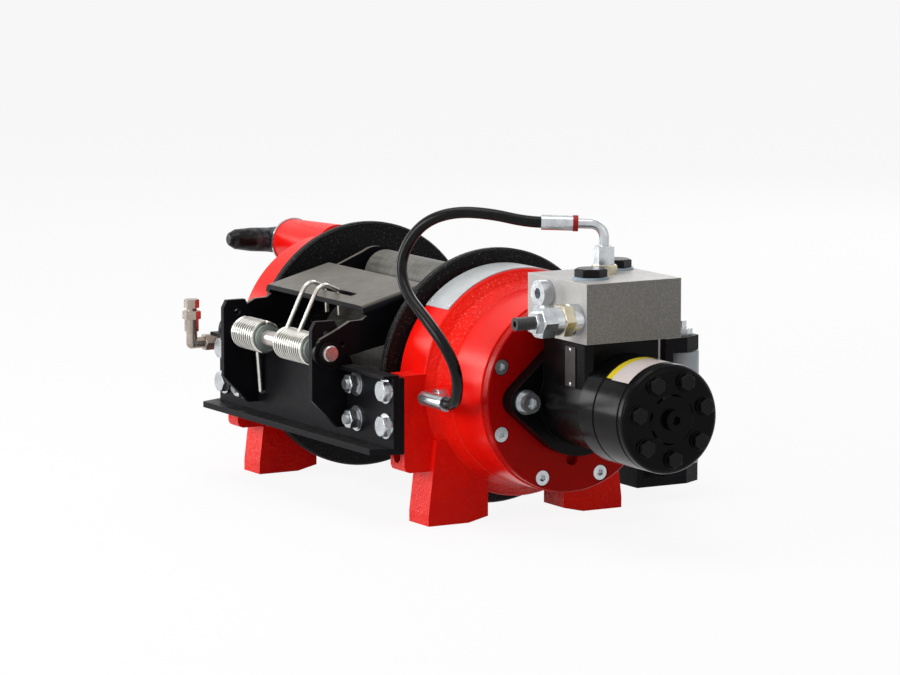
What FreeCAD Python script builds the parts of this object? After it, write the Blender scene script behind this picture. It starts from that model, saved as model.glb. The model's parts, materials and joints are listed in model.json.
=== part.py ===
"""Hydraulic planetary mooring and recovery winch, as a parametric FreeCAD document.

Row frame in millimetres: X runs along the drum axis towards the motor, the rope
tensioner is on the -Y side, the fairlead on the +Y side and Z points up.  The origin
is the centre of the foot bolt pattern, in the plane that the feet stand on.
"""
import FreeCAD, Part
import Sketcher
import math
import os
from FreeCAD import Placement, Rotation, Vector

doc = FreeCAD.newDocument("MooringWinch")

# ---------------------------------------------------------------- driving dimensions
SIZES = [
    # drum
    ("axis_height", 132.2, "drum axis above the feet"),
    ("flange_dia", 254, "drum flange diameter"),
    ("flange_thick", 8.5, "drum flange thickness"),
    ("drum_width", 252, "between the drum flanges"),
    ("barrel_dia", 110, "rope barrel diameter"),
    ("side_gap", 5, "running gap between drum and housings"),
    ("journal_dia", 80, "drum journal diameter"),
    ("journal_length", 18, "journal length inside the housing"),
    ("bearing_gap", 0.3, "radial clearance of every turning fit"),
    # housings
    ("ring_dia", 216, "clutch housing ring diameter"),
    ("gear_ring_dia", 224, "gear housing ring diameter"),
    ("ring_width", 48, "gear housing ring width"),
    ("shoulder_width", 12, "cast shoulder beside the gear housing ring"),
    ("shoulder_drop", 5, "step from the ring down to the shoulder"),
    ("shoulder_fall", 5, "fall of the shoulder's surface along its width"),
    ("cone_length", 27.5, "cone between ring and gear body"),
    ("gear_body_dia", 192, "gear body diameter"),
    ("gear_body_length", 130.5, "gear housing length"),
    ("cover_dia", 189.2, "gear end cover diameter"),
    ("cover_thick", 10.5, "gear end cover thickness"),
    ("cover_bolt_circle", 169.6, "cover screw circle"),
    ("cover_head_dia", 14.6, "cover screw head diameter"),
    ("cover_head_height", 8, "cover screw head height"),
    ("cover_screw_dia", 8, "cover screw shank diameter"),
    ("drain_drop", 62, "drain hole below the axis"),
    ("drain_dia", 13, "drain hole diameter"),
    ("clutch_length", 66.5, "clutch housing length"),
    ("clutch_cover_dia", 172, "clutch end cover diameter"),
    ("clutch_cover_thick", 14, "clutch end cover thickness"),
    ("clutch_bolt_circle", 152, "clutch cover screw circle"),
    ("edge_break", 2, "broken edge of castings"),
    ("foot_inset", 17, "feet from the inner end of a housing"),
    ("gear_foot_width", 38.5, "gear foot width along X"),
    ("clutch_foot_width", 34.5, "clutch foot width along X"),
    ("foot_inner", 43.4, "foot inner edge from the axis plane"),
    ("foot_outer", 110, "foot outer edge from the axis plane"),
    ("foot_toe", 11, "height of the upright part of the foot toe"),
    ("foot_top_y", 101, "foot outer face where it meets the ring"),
    ("foot_height", 84, "height where foot and ring meet"),
    ("foot_cut", 22, "length of the chamfer under the inner side of a foot"),
    ("foot_cut_height", 5, "height of that chamfer"),
    ("foot_bolt_inset", 34.5, "foot bolt from the inner end of a housing"),
    ("foot_bolt_y", 77, "foot bolt from the middle along Y"),
    ("foot_hole_dia", 14, "foot hole, tapped M16"),
    ("foot_hole_depth", 26, "foot hole depth"),
    ("gear_lug_inset", 21, "gear lugs from the inner end of the housing"),
    ("gear_lug_width", 27.5, "gear lug width along X"),
    ("clutch_lug_inset", 12, "clutch lugs from the inner end of the housing"),
    ("clutch_lug_width", 30.5, "clutch lug width along X"),
    ("lug_notch", 9, "width cut from the lower inner corner of a clutch lug"),
    ("lug_face", 133, "lug face from the axis plane"),
    ("gear_lug_low", 53, "gear lug underside height"),
    ("clutch_lug_low", 49.5, "clutch lug underside height"),
    ("lug_rise", 15, "lug top above the upper bolts"),
    ("lug_slot_inset", 33.5, "lug slot from the inner end of a housing"),
    ("lug_slot_width", 13.5, "lug slot width"),
    ("lug_slot_low", 61.5, "lowest point of the slot"),
    ("lug_slot_height", 22, "slot height"),
    ("lug_slot_depth", 12, "slot depth"),
    # clutch boss and handle
    ("boss_rise", 89.8, "clutch boss above the drum axis"),
    ("boss_length", 146.5, "outer end of the boss from the inner end of the housing"),
    ("boss_dia", 48, "boss diameter at its outer end"),
    ("boss_root_dia", 56, "boss diameter at the housing"),
    ("collar_thick", 3, "clutch collar thickness"),
    ("shaft_dia", 16, "clutch shaft diameter"),
    ("shaft_depth", 24, "clutch shaft length inside the boss"),
    ("handle_reach", 68.5, "handle half length"),
    ("handle_hub_dia", 28, "handle diameter at the hub"),
    ("handle_grip_dia", 25, "handle diameter along its grips"),
    ("handle_shoulder_dia", 21, "handle diameter behind its rounded tips"),
    ("handle_shoulder", 8, "length of a rounded tip"),
    ("handle_tip_dia", 14, "handle diameter at a tip"),
    ("handle_gap", 1.5, "gap between collar and handle hub"),
    # front and rear members
    ("member_inset", 48.5, "member end from the inner end of the gear housing"),
    ("bracket_inset", 37, "left bracket end from the inner end of the clutch housing"),
    ("web_thick", 6, "web and flange thickness"),
    ("member_base", 27, "front member underside below the lower bolts"),
    ("member_drop", 3.1, "front member top below the bracket top"),
    ("flange_reach", 26, "bottom flange beyond the web"),
    ("flange_cut", 12, "length cut from the flange corners"),
    ("gear_bolt_inset", 35.5, "gear side member bolts from the inner end of the housing"),
    ("clutch_bolt_inset", 24.5, "clutch side member bolts from the inner end of the housing"),
    ("bolt_pitch", 34.5, "lower member bolts below the upper ones"),
    ("bolt_drop", 16.1, "upper member bolts below the bracket top"),
    ("bolt_dia", 14, "member bolt diameter"),
    ("bolt_flats", 19, "member bolt head across flats"),
    ("bolt_head", 6, "member bolt head height"),
    ("bolt_grip", 26, "member bolt length inside the lug"),
    ("washer_dia", 25, "member bolt flange diameter"),
    ("washer_thick", 2.2, "member bolt flange thickness"),
    ("fit_gap", 0.4, "clearance of bolts in their holes"),
    ("stud_x", 117.5, "bracket stud from the middle"),
    ("stud_dia", 10, "bracket stud diameter"),
    ("stud_proud", 3.2, "stud beyond its nut"),
    ("nut_flats", 17, "stud nut across flats"),
    ("nut_height", 10, "stud nut height"),
    ("nut_washer_dia", 25, "stud washer diameter"),
    ("nut_washer_thick", 2.5, "stud washer thickness"),
    ("nut_flange_dia", 22, "nut flange diameter"),
    ("nut_flange_thick", 1.5, "nut flange thickness"),
    # tensioner bracket
    ("bracket_drop", 12.9, "bracket plate top below the pivot rod"),
    ("bracket_thick", 6, "bracket plate thickness"),
    ("lip_depth", 11, "bracket lip depth"),
    ("lip_thick", 3.5, "bracket lip thickness"),
    ("cheek_x", 96.6, "side plate outer face from the middle"),
    ("cheek_front", 184.7, "side plate front edge"),
    ("cheek_rise", 31, "side plate top above the pivot rod"),
    ("cheek_base", 16, "side plate underside above the member underside"),
    ("cheek_cut", 28, "side plate lower corner cut"),
    ("cheek_nip", 6, "side plate upper corner cut"),
    ("cheek_top_back", 160, "side plate top where it slopes down"),
    ("rod_y", 169, "pivot rod in front of the axis plane"),
    ("rod_height", 162.5, "pivot rod height"),
    ("rod_dia", 16, "pivot rod diameter"),
    ("rod_end", 108, "pivot rod end from the middle"),
    ("pin_hole_rise", 18.5, "small hole above the pivot rod"),
    ("pin_hole_dia", 6.5, "small hole diameter"),
    ("ring_clip_dia", 22, "rod retaining ring diameter"),
    ("ring_clip_thick", 1.5, "rod retaining ring thickness"),
    # tension flap
    ("flap_sheet", 5, "flap sheet thickness"),
    ("flap_gap", 0.5, "gap between side plate and flap ear"),
    ("flap_front_y", 130.5, "flap fold in front of the axis plane"),
    ("flap_front_rise", 43.5, "flap fold above the pivot rod"),
    ("flap_back_y", 61, "flap back edge in front of the axis plane"),
    ("flap_back_rise", 61.5, "flap back edge above the pivot rod"),
    ("flap_bend", 8, "flap bend radius"),
    ("ear_radius", 16, "flap ear radius round the rod"),
    ("arm_radius", 26, "flap arm radius round the roller axle"),
    ("arm_scale", 1, "size factor of the front edge of the flap arms"),
    ("arm_ahead", 4, "middle of the arm end in front of the roller axle"),
    ("arm_hole_dia", 5, "small hole in the flap arms"),
    ("arm_hole_y", 15, "that hole behind the pivot rod"),
    ("arm_hole_rise", 8.2, "that hole above the pivot rod"),
    ("arm_under", 5.5, "arm underside below the pivot rod, behind the ear"),
    ("arm_under_y", 15, "start of the arm underside behind the pivot rod"),
    ("relief_gap", 6, "clearance of the arms over the barrel"),
    ("slot_x", 20, "flap slot centre"),
    ("slot_y", 112.5, "flap slot in front of the axis plane"),
    ("slot_length", 64, "flap slot length"),
    ("slot_width", 7.5, "flap slot width"),
    ("roller_y", 1, "tension roller in front of the axis plane"),
    ("roller_dia", 47, "tension roller diameter"),
    ("roller_half", 86.5, "tension roller half length"),
    ("roller_rest", 0.4, "resting gap between roller and barrel"),
    ("axle_dia", 16, "tension roller axle diameter"),
    # springs
    ("wire_dia", 4.5, "spring wire diameter"),
    ("coil_dia", 34, "spring coil outer diameter"),
    ("left_coil_start", -76, "left coil, outer end"),
    ("left_coil_end", -26, "left coil, inner end"),
    ("right_coil_start", 13, "right coil, inner end"),
    ("right_coil_end", 75, "right coil, outer end"),
    ("leg_one_x", 20.5, "first upper spring leg at the coil"),
    ("leg_two_x", 46.5, "second upper spring leg at the coil"),
    ("leg_shift", 27, "sideways step of the upper spring legs"),
    ("leg_front", 21, "upper spring legs in front of the flap's fold"),
    ("leg_front_rise", 13.5, "height of that point above the fold"),
    ("leg_crest", 13.5, "crest of the upper spring legs in front of the fold"),
    ("leg_crest_rise", 16, "crest height above the fold"),
    ("leg_drop", 24, "length of the upper spring legs' tips below the flap's top"),
    ("leg_bend", 3.2, "bend radius of the spring legs"),
    ("anchor_bend", 2.6, "bend radius of the lower spring leg"),
    ("notch_width", 7, "notch in the bracket lip for the lower leg"),
    ("anchor_x", -79, "lower spring leg at the coil"),
    ("anchor_lean", 1, "sideways lean of the lower spring leg"),
    ("bush_gap", 0.3, "radial clearance of the spring bushes on the rod"),
    ("bush_slack", 0.1, "play of the bushes in the coils, across the diameter"),
    ("anchor_rise", 27, "entry of the lower spring leg above the member underside"),
    ("anchor_stand", 3.4, "lower spring leg in front of the bracket plate at its bend"),
    # motor
    ("motor_flange_thick", 16.5, "motor mounting flange thickness"),
    ("motor_flange_dia", 114, "motor mounting flange diameter"),
    ("motor_ear_y", 62, "motor bolt from the axis"),
    ("motor_ear_radius", 16, "motor flange ear radius"),
    ("motor_neck_dia", 92, "motor neck diameter"),
    ("port_block_length", 96.5, "motor port block length from the motor face"),
    ("port_block_half", 42, "port block half width"),
    ("motor_ring_dia", 104, "motor ring diameter"),
    ("motor_ring_inset", 93.5, "motor ring from the motor face"),
    ("gerotor_inset", 121.5, "gerotor ring from the motor face"),
    ("end_cap_inset", 164, "end cap from the motor face"),
    ("motor_length", 176.5, "outer face of the end cap from the motor face"),
    ("cap_round", 6, "rounded edge of the end cap"),
    ("cap_bolt_radius", 37.6, "end cap bolts from the axis"),
    ("cap_bolt_flats", 14, "end cap bolt across flats"),
    ("cap_bolt_head", 6, "end cap bolt head height"),
    ("cap_boss_dia", 46, "raised boss of the end cap"),
    ("cap_boss_height", 2.5, "height of that boss"),
    ("cap_plug_dia", 20, "centre plug diameter"),
    ("cap_plug_height", 6, "centre plug height"),
    ("motor_screw_head", 19, "motor flange screw head diameter"),
    ("motor_screw_height", 12, "motor flange screw head height"),
    ("data_plate_inset", 57, "motor data plate from the motor face"),
    ("data_plate_width", 18, "motor data plate width"),
    ("data_plate_rise", 20, "motor data plate above the drum axis"),
    ("data_plate_height", 38, "motor data plate height"),
    ("data_plate_thick", 1, "data plate thickness"),
    # valve block
    ("valve_inset", 4, "valve block from the motor face"),
    ("valve_length", 106.5, "valve block length"),
    ("valve_half", 52.3, "valve block half width"),
    ("valve_rise", 65.5, "valve block underside above the drum axis"),
    ("valve_height", 56.9, "valve block height"),
    ("side_plug_inset", 41.5, "side plug from the motor face"),
    ("side_plug_drop", 15.1, "side plug below the valve block top"),
    ("side_plug_dia", 25, "side plug diameter"),
    ("side_plug_proud", 12, "side plug length"),
    ("cartridge_inset", 93.5, "relief cartridge from the motor face"),
    ("cartridge_drop", 34.6, "relief cartridge below the valve block top"),
    ("port_plug_flats", 27, "port plug across flats"),
    ("port_plug_height", 8, "port plug height"),
    ("port_washer_dia", 35, "port plug washer diameter"),
    ("port_washer_thick", 2, "port plug washer thickness"),
    ("front_port_inset", 73.5, "front port plug from the motor face"),
    ("front_port_y", -25, "front port plug along Y"),
    ("rear_port_inset", 22.5, "rear port plug from the motor face"),
    ("rear_port_y", 34, "rear port plug along Y"),
    ("adapter_inset", 48.5, "hose adapter from the motor face"),
    ("adapter_y", 5, "hose adapter along Y"),
    ("elbow_rise", 47.4, "hose elbow axis above the valve block"),
    ("elbow_tube_dia", 9.5, "hose elbow tube diameter"),
    ("ferrule_dia", 14.5, "hose ferrule diameter"),
    ("ferrule_length", 30, "hose ferrule length"),
    ("hose_dia", 11, "hose diameter"),
    ("adapter_flats", 22, "hose adapter across flats"),
    ("adapter_height", 9, "hose adapter height"),
    ("elbow_nut_flats", 17, "elbow nut across flats"),
    ("elbow_nut_height", 18, "elbow nut height"),
    ("elbow_reach", 24.6, "elbow from its corner to the ferrule"),
    ("elbow_bend", 13, "elbow bend radius"),
    ("mark_width", 5, "width of the coloured ring on the ferrule"),
    ("cartridge_scale", 1, "size factor of the relief cartridge's sections"),
    ("cartridge_core_dia", 20, "relief cartridge core diameter"),
    ("adjuster_dia", 12.5, "adjusting screw diameter"),
    ("adjuster_length", 24, "adjusting screw length"),
    ("lock_nut_flats", 19, "lock nut across flats"),
    ("lock_nut_height", 5, "lock nut height"),
    # fairlead
    ("rear_low", 16, "rear member underside"),
    ("rear_high", 146, "rear member top"),
    ("shelf_thick", 9, "thickness of the rear member's and the fairlead's bottom flanges"),
    ("window_low", 44, "rope window, lower edge"),
    ("window_high", 138, "rope window, upper edge"),
    ("window_half", 136, "rope window half width"),
    ("lead_plate_y", 165.5, "fairlead plate behind the axis plane"),
    ("lead_plate_thick", 9, "fairlead plate thickness"),
    ("lead_high", 163.5, "fairlead top"),
    ("lead_top_thick", 8, "fairlead top flange thickness"),
    ("lining_thick", 7, "thickness of the lining under the top flange"),
    ("lead_depth", 46.5, "fairlead depth from the front of its plate to its outer edge"),
    ("lead_cut", 12, "width cut from the outer corners of the flanges"),
    ("lead_cut_length", 21, "length cut from the outer corners of the flanges"),
    ("post_inset", 20, "upright rollers from the ends of the member"),
    ("post_setback", 15, "fairlead roller axes from the outer edge of the flanges"),
    ("post_roller_dia", 35, "upright roller diameter"),
    ("cross_roller_dia", 30, "cross roller diameter"),
    ("lead_pin_dia", 14, "upright roller pin diameter"),
    ("lead_nut_flats", 19, "upright roller nut across flats"),
    ("lead_nut_height", 7.1, "upright roller nut height"),
    ("lead_stub", 14.5, "pin length above the fairlead top"),
    ("cross_pin_dia", 10, "cross roller pin diameter"),
    ("cross_gap", 5, "clearance of the cross rollers to the flanges"),
    ("roller_end_gap", 1, "end gap of the fairlead rollers"),
    ("bearer_gap", 6, "gap between a cross roller bearer and the upright roller"),
    ("bearer_thick", 6.5, "thickness of the cross roller bearers"),
    ("bearer_rise", 17, "bearer above or below the cross roller axis"),
    # left air fitting
    ("air_inset", 59.5, "air fitting from the inner end of the clutch housing"),
    ("air_rise", 3.4, "air fitting above the drum axis"),
    ("air_elbow_y", 165.9, "air fitting elbow in front of the axis plane"),
    ("air_length", 45.9, "air fitting top above its elbow"),
    ("air_tube_dia", 11.5, "air fitting tube diameter"),
    ("air_port_depth", 8, "depth of the air port in the clutch housing"),
    # lower hose fitting
    ("brake_inset", 70, "brake fitting stem from the inner end of the gear housing"),
    ("brake_y", 120, "brake fitting in front of the axis plane"),
    ("brake_drop", 4.2, "brake fitting below the drum axis"),
    ("brake_seat", 18, "brake fitting axis to the pad on the housing"),
    ("brake_pad_dia", 26, "machined pad under the brake fitting"),
    ("brake_pad_depth", 20, "pad depth into the housing"),
    ("brake_body_dia", 15, "brake fitting body diameter"),
    ("brake_hex_flats", 17, "brake fitting across flats"),
    ("brake_mouth", 36.5, "mouth of the brake fitting from its stem"),
    ("brake_nose", 7, "nipple at the closed end of the fitting"),
    ("brake_heel", 5, "closed end of the brake fitting body from its stem"),
    # hose route: from the middle along X, in front of the axis plane and above the feet
    ("hose_lead", 14, "straight start of the hose"),
    ("hose_2_x", 271, "hose point 2 along X"),
    ("hose_2_y", 86, "hose point 2 in front"),
    ("hose_2_z", 311.5, "hose point 2 height"),
    ("hose_3_x", 248, "hose point 3 along X"),
    ("hose_3_y", 111, "hose point 3 in front"),
    ("hose_3_z", 312.6, "hose point 3 height"),
    ("hose_4_x", 227, "hose point 4 along X"),
    ("hose_4_y", 131, "hose point 4 in front"),
    ("hose_4_z", 303, "hose point 4 height"),
    ("hose_5_x", 211, "hose point 5 along X"),
    ("hose_5_y", 143, "hose point 5 in front"),
    ("hose_5_z", 281, "hose point 5 height"),
    ("hose_6_x", 209, "hose point 6 along X"),
    ("hose_6_y", 150, "hose point 6 in front"),
    ("hose_6_z", 256, "hose point 6 height"),
    ("hose_7_x", 227, "hose point 7 along X"),
    ("hose_7_y", 152, "hose point 7 in front"),
    ("hose_7_z", 233, "hose point 7 height"),
    ("hose_8_x", 257, "hose point 8 along X"),
    ("hose_8_y", 149, "hose point 8 in front"),
    ("hose_8_z", 214, "hose point 8 height"),
    ("hose_9_x", 281, "hose point 9 along X"),
    ("hose_9_y", 142, "hose point 9 in front"),
    ("hose_9_z", 191, "hose point 9 height"),
    ("hose_10_x", 289, "hose point 10 along X"),
    ("hose_10_y", 134, "hose point 10 in front"),
    ("hose_10_z", 168, "hose point 10 height"),
    ("hose_11_x", 279, "hose point 11 along X"),
    ("hose_11_y", 126, "hose point 11 in front"),
    ("hose_11_z", 147, "hose point 11 height"),
    ("hose_tail", 16, "straight end of the hose, along X"),
    # name plate
    ("plate_thick", 1.2, "name plate thickness"),
]

sheet = doc.addObject("Spreadsheet::Sheet", "Sizes")
for row, (alias, value, meaning) in enumerate(SIZES, start=1):
    sheet.set(f"A{row}", meaning)
    sheet.set(f"B{row}", str(value))
    sheet.setAlias(f"B{row}", alias)
doc.recompute()


class Size:
    """A length of the sheet, or one worked out from it: its value and its expression."""

    def __init__(self, text, value):
        self.text = text
        self.value = value

    def __add__(self, other):
        return Size(f"({self.text} + {text_of(other)})", self.value + value_of(other))

    def __radd__(self, other):
        return Size(f"({text_of(other)} + {self.text})", value_of(other) + self.value)

    def __sub__(self, other):
        return Size(f"({self.text} - {text_of(other)})", self.value - value_of(other))

    def __rsub__(self, other):
        return Size(f"({text_of(other)} - {self.text})", value_of(other) - self.value)

    def __mul__(self, other):
        return Size(f"({self.text} * {text_of(other)})", self.value * value_of(other))

    def __rmul__(self, other):
        return Size(f"({text_of(other)} * {self.text})", value_of(other) * self.value)

    def __truediv__(self, other):
        return Size(f"({self.text} / {text_of(other)})", self.value / value_of(other))

    def __neg__(self):
        return Size(f"(0 - {self.text})", -self.value)


def value_of(size):
    return size.value if isinstance(size, Size) else float(size)


def text_of(size):
    return size.text if isinstance(size, Size) else f"({float(size)!r})"


def root(size):
    """Square root of a size."""
    return Size(f"sqrt({size.text})", math.sqrt(size.value))


class Sizes:
    """The sheet's cells by name."""


S = Sizes()
for alias, value, meaning in SIZES:
    setattr(S, alias, Size(f"Sizes.{alias}", float(sheet.get(alias))))

# ---------------------------------------------------------------- making and binding
ALONG = {
    "z": Rotation(), "-z": Rotation(Vector(1, 0, 0), 180),
    "x": Rotation(Vector(0, 1, 0), 90), "-x": Rotation(Vector(0, 1, 0), -90),
    "y": Rotation(Vector(1, 0, 0), -90), "-y": Rotation(Vector(1, 0, 0), 90),
}
TURNED = {
    "x": Rotation(), "-x": Rotation(Vector(0, 0, 1), 180),
    "y": Rotation(Vector(0, 0, 1), 90), "-y": Rotation(Vector(0, 0, 1), -90),
    "z": Rotation(Vector(0, 1, 0), -90),
}


def bind(obj, prop, size):
    """Set a property, and tie it to the sheet where the size comes from there."""
    setattr(obj, prop, value_of(size))
    if isinstance(size, Size):
        obj.setExpression(prop, size.text)


def place(obj, at, rotation=Rotation()):
    obj.Placement = Placement(Vector(*(value_of(size) for size in at)), rotation)
    for letter, size in zip("xyz", at):
        if isinstance(size, Size):
            obj.setExpression(f"Placement.Base.{letter}", size.text)
    return obj


def rod(name, dia, length, at, along="z"):
    """Round bar that starts at a point and runs along an axis."""
    obj = doc.addObject("Part::Cylinder", name)
    bind(obj, "Radius", dia / 2)
    bind(obj, "Height", length)
    return place(obj, at, ALONG[along])


def cone(name, dia, end_dia, length, at, along="z"):
    obj = doc.addObject("Part::Cone", name)
    bind(obj, "Radius1", dia / 2)
    bind(obj, "Radius2", end_dia / 2)
    bind(obj, "Height", length)
    return place(obj, at, ALONG[along])


def block(name, low, high):
    """Box between two corners."""
    obj = doc.addObject("Part::Box", name)
    for prop, start, end in zip(("Length", "Width", "Height"), low, high):
        bind(obj, prop, end - start)
    return place(obj, low)


def hexagon(name, flats, height, at, along="z"):
    """Six-sided bar, given across its flats, with its corners chamfered at the far end."""
    bar = doc.addObject("Part::Prism", name + "_bar")
    bar.Polygon = 6
    bind(bar, "Circumradius", flats / math.sqrt(3))
    bind(bar, "Height", height)
    place(bar, at, ALONG[along])
    limit = doc.addObject("Part::Cone", name + "_limit")
    bind(limit, "Radius1", flats / 2 + height * 1.7)
    bind(limit, "Radius2", flats / 2 - height * 0.02)
    bind(limit, "Height", height)
    place(limit, at, ALONG[along])
    both = doc.addObject("Part::Common", name)
    both.Base = bar
    both.Tool = limit
    return both


def fuse(name, pieces):
    obj = doc.addObject("Part::MultiFuse", name)
    obj.Shapes = pieces
    obj.Refine = True
    return obj


def cut(name, base, tools):
    obj = doc.addObject("Part::Cut", name)
    obj.Base = base
    obj.Tool = tools[0] if len(tools) == 1 else fuse(name + "_tools", tools)
    obj.Refine = True
    return obj


def group(name, pieces):
    """Like pieces that do not touch, kept in one node."""
    obj = doc.addObject("Part::Compound", name)
    obj.Links = pieces
    return obj


def ring(name, dia, bore, length, at, along="z"):
    return cut(name, rod(name + "_disc", dia, length, at, along),
               [rod(name + "_bore", bore, length, at, along)])


def outline(body, role, corners, offset=0):
    """Closed sketch through corners on one of the body's own origin planes."""
    plane = next(f for f in body.Origin.OriginFeatures if f.Role == role)
    sketch = body.newObject("Sketcher::SketchObject", body.Name + "_sketch")
    sketch.AttachmentSupport = (plane, [""])
    sketch.MapMode = "FlatFace"
    sketch.AttachmentOffset = Placement(Vector(0, 0, value_of(offset)), Rotation())
    if isinstance(offset, Size):
        sketch.setExpression("AttachmentOffset.Base.z", offset.text)
    points = [Vector(value_of(u), value_of(v), 0) for u, v in corners]
    count = len(points)
    for i in range(count):
        sketch.addGeometry(Part.LineSegment(points[i], points[(i + 1) % count]))
    for i in range(count):
        sketch.addConstraint(Sketcher.Constraint("Coincident", i, 2, (i + 1) % count, 1))
    for i, corner in enumerate(corners):
        for kind, size in zip(("DistanceX", "DistanceY"), corner):
            number = sketch.addConstraint(Sketcher.Constraint(kind, -1, 1, i, 1, value_of(size)))
            if isinstance(size, Size):
                sketch.setExpression(f"Constraints[{number}]", size.text)
    return sketch


def plate(name, role, corners, start, thick):
    """Flat plate: outline on XY, XZ or YZ, from start to start + thick."""
    body = doc.addObject("PartDesign::Body", name)
    backwards = role == "XZ_Plane"
    sketch = outline(body, role, corners, -start if backwards else start)
    pad = body.newObject("PartDesign::Pad", name + "_pad")
    pad.Profile = sketch
    pad.Reversed = backwards
    bind(pad, "Length", thick)
    return body


def turned(name, corners, at, along="x"):
    """Turned piece: corners are (distance along the axis, radius)."""
    body = doc.addObject("PartDesign::Body", name)
    sketch = outline(body, "XY_Plane", corners)
    spin = body.newObject("PartDesign::Revolution", name + "_turn")
    spin.Profile = sketch
    spin.ReferenceAxis = (sketch, ["H_Axis"])
    spin.Angle = 360
    return place(body, at, TURNED[along])


def drawn(name, shape):
    """A swept piece, made with Part's own functions."""
    obj = doc.addObject("Part::Feature", name)
    obj.Shape = shape
    return obj


def bent_path(points, radius=None):
    """Straight runs joined by tangent arcs; the arc is as large as its runs allow."""
    edges = []
    start = points[0]
    radii = []
    for before, corner, after in zip(points, points[1:], points[2:]):
        to_before = (before - corner).normalize()
        to_after = (after - corner).normalize()
        half_turn = (math.pi - to_before.getAngle(to_after)) / 2
        shorter = min((before - corner).Length, (after - corner).Length)
        arc_radius = radius or 0.45 * shorter / math.tan(half_turn)
        radii.append(arc_radius)
        reach = arc_radius * math.tan(half_turn)
        first = corner + to_before * reach
        last = corner + to_after * reach
        inward = (to_before + to_after).normalize()
        middle = corner + inward * (arc_radius / math.cos(half_turn) - arc_radius)
        edges.append(Part.LineSegment(start, first).toShape())
        edges.append(Part.Arc(first, middle, last).toShape())
        start = last
    edges.append(Part.LineSegment(start, points[-1]).toShape())
    return Part.Wire(edges), radii


def wire_along(points, dia, radius=None):
    """Round wire or tube along a bent path."""
    path, radii = bent_path(points, radius)
    circle = Part.Wire(Part.makeCircle(dia / 2, points[0], points[1] - points[0]))
    solid = path.makePipeShell([circle], True, False)
    expected = math.pi * (dia / 2) ** 2 * path.Length
    if abs(solid.Volume / expected - 1) > 0.02:
        raise ValueError("a bent piece has the wrong volume")
    return solid, path.Length, radii


AXIS = S.axis_height
AIR_SEAT = S.ring_dia / 2 - S.air_port_depth
SIDES = (("clutch", -1), ("gear", 1))
RING_START = S.drum_width / 2 + S.flange_thick + S.side_gap
BODY_END = RING_START + S.gear_body_length
CLUTCH_END = RING_START + S.clutch_length
MEMBER_END = RING_START + S.member_inset
BRACKET_HIGH = S.rod_height - S.bracket_drop
BOLT_HIGH = BRACKET_HIGH - S.bolt_drop
BOLT_LOW = BOLT_HIGH - S.bolt_pitch
MEMBER_LOW = BOLT_LOW - S.member_base
BOLT_ROWS = (("low", BOLT_LOW), ("high", BOLT_HIGH))
LUG_HIGH = BOLT_HIGH + S.lug_rise
BOSS_HEIGHT = AXIS + S.boss_rise
BOSS_END = RING_START + S.boss_length
AIR_X = -RING_START - S.air_inset
GEAR_SCREWS, CLUTCH_SCREWS = 8, 6
CAP_BOLTS, CAP_BOLT_FIRST = 7, 15.3
PLATE_FROM, PLATE_TO = 60, 137
HANDLE_TILT = 4
nodes = []


def node(obj, label):
    obj.Label = label
    nodes.append(obj)
    return obj


# ---------------------------------------------------------------- drum
def drum():
    half = S.drum_width / 2
    node(rod("drum_barrel", S.barrel_dia, S.drum_width, (-half, 0, AXIS), "x"), "drum_barrel")
    edge = S.edge_break * 0.75
    radius = S.flange_dia / 2
    journal_end = S.flange_thick + S.side_gap + S.journal_length
    corners = [(0, 0), (0, radius - edge), (edge, radius), (S.flange_thick - edge, radius),
               (S.flange_thick, radius - edge), (S.flange_thick, S.journal_dia / 2),
               (journal_end, S.journal_dia / 2), (journal_end, 0)]
    for name, side in (("left", -1), ("right", 1)):
        label = f"drum_flange_{name}"
        along = "x" if side > 0 else "-x"
        node(turned(label, corners, (side * half, 0, AXIS), along), label)


# ---------------------------------------------------------------- housings
def span(side, inset, width):
    """Low end along X of a piece that starts at an inset from a housing's inner end."""
    return RING_START + inset if side > 0 else -RING_START - inset - width


def bolt_x(side):
    return RING_START + S.gear_bolt_inset if side > 0 else -RING_START - S.clutch_bolt_inset


def foot(name, side, front, width):
    """Foot under a housing: upright inside, leaning outside."""
    corners = [(front * (S.foot_inner + S.foot_cut), 0), (front * S.foot_outer, 0),
               (front * S.foot_outer, S.foot_toe), (front * S.foot_top_y, S.foot_height),
               (front * S.foot_inner, S.foot_height), (front * S.foot_inner, S.foot_cut_height)]
    return plate(name, "YZ_Plane", corners, span(side, S.foot_inset, width), width)


def lug(name, side, front):
    """Lug that carries a cross member, rounded at its lower edge."""
    nip = S.edge_break * 3
    inner = S.foot_inner
    low = S.gear_lug_low if side > 0 else S.clutch_lug_low
    inset = S.gear_lug_inset if side > 0 else S.clutch_lug_inset
    width = S.gear_lug_width if side > 0 else S.clutch_lug_width
    corners = [(front * inner, low), (front * (S.lug_face - nip), low),
               (front * (S.lug_face - nip * 0.3), low + nip * 0.3),
               (front * S.lug_face, low + nip), (front * S.lug_face, LUG_HIGH),
               (front * inner, LUG_HIGH)]
    return plate(name, "YZ_Plane", corners, span(side, inset, width), width)


def lug_slot(name, side, front):
    """Upright slot, low in the lug's face."""
    dia = S.lug_slot_width
    x = side * (RING_START + S.lug_slot_inset)
    low = S.lug_slot_low + dia / 2
    high = S.lug_slot_low + S.lug_slot_height - dia / 2
    along = "y" if front < 0 else "-y"
    face = front * S.lug_face
    back = front * (S.lug_face - S.lug_slot_depth)
    y_low, y_high = (face, back) if front < 0 else (back, face)
    return [rod(name + "_low", dia, S.lug_slot_depth, (x, face, low), along),
            rod(name + "_high", dia, S.lug_slot_depth, (x, face, high), along),
            block(name + "_mid", (x - dia / 2, y_low, low), (x + dia / 2, y_high, high))]


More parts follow.
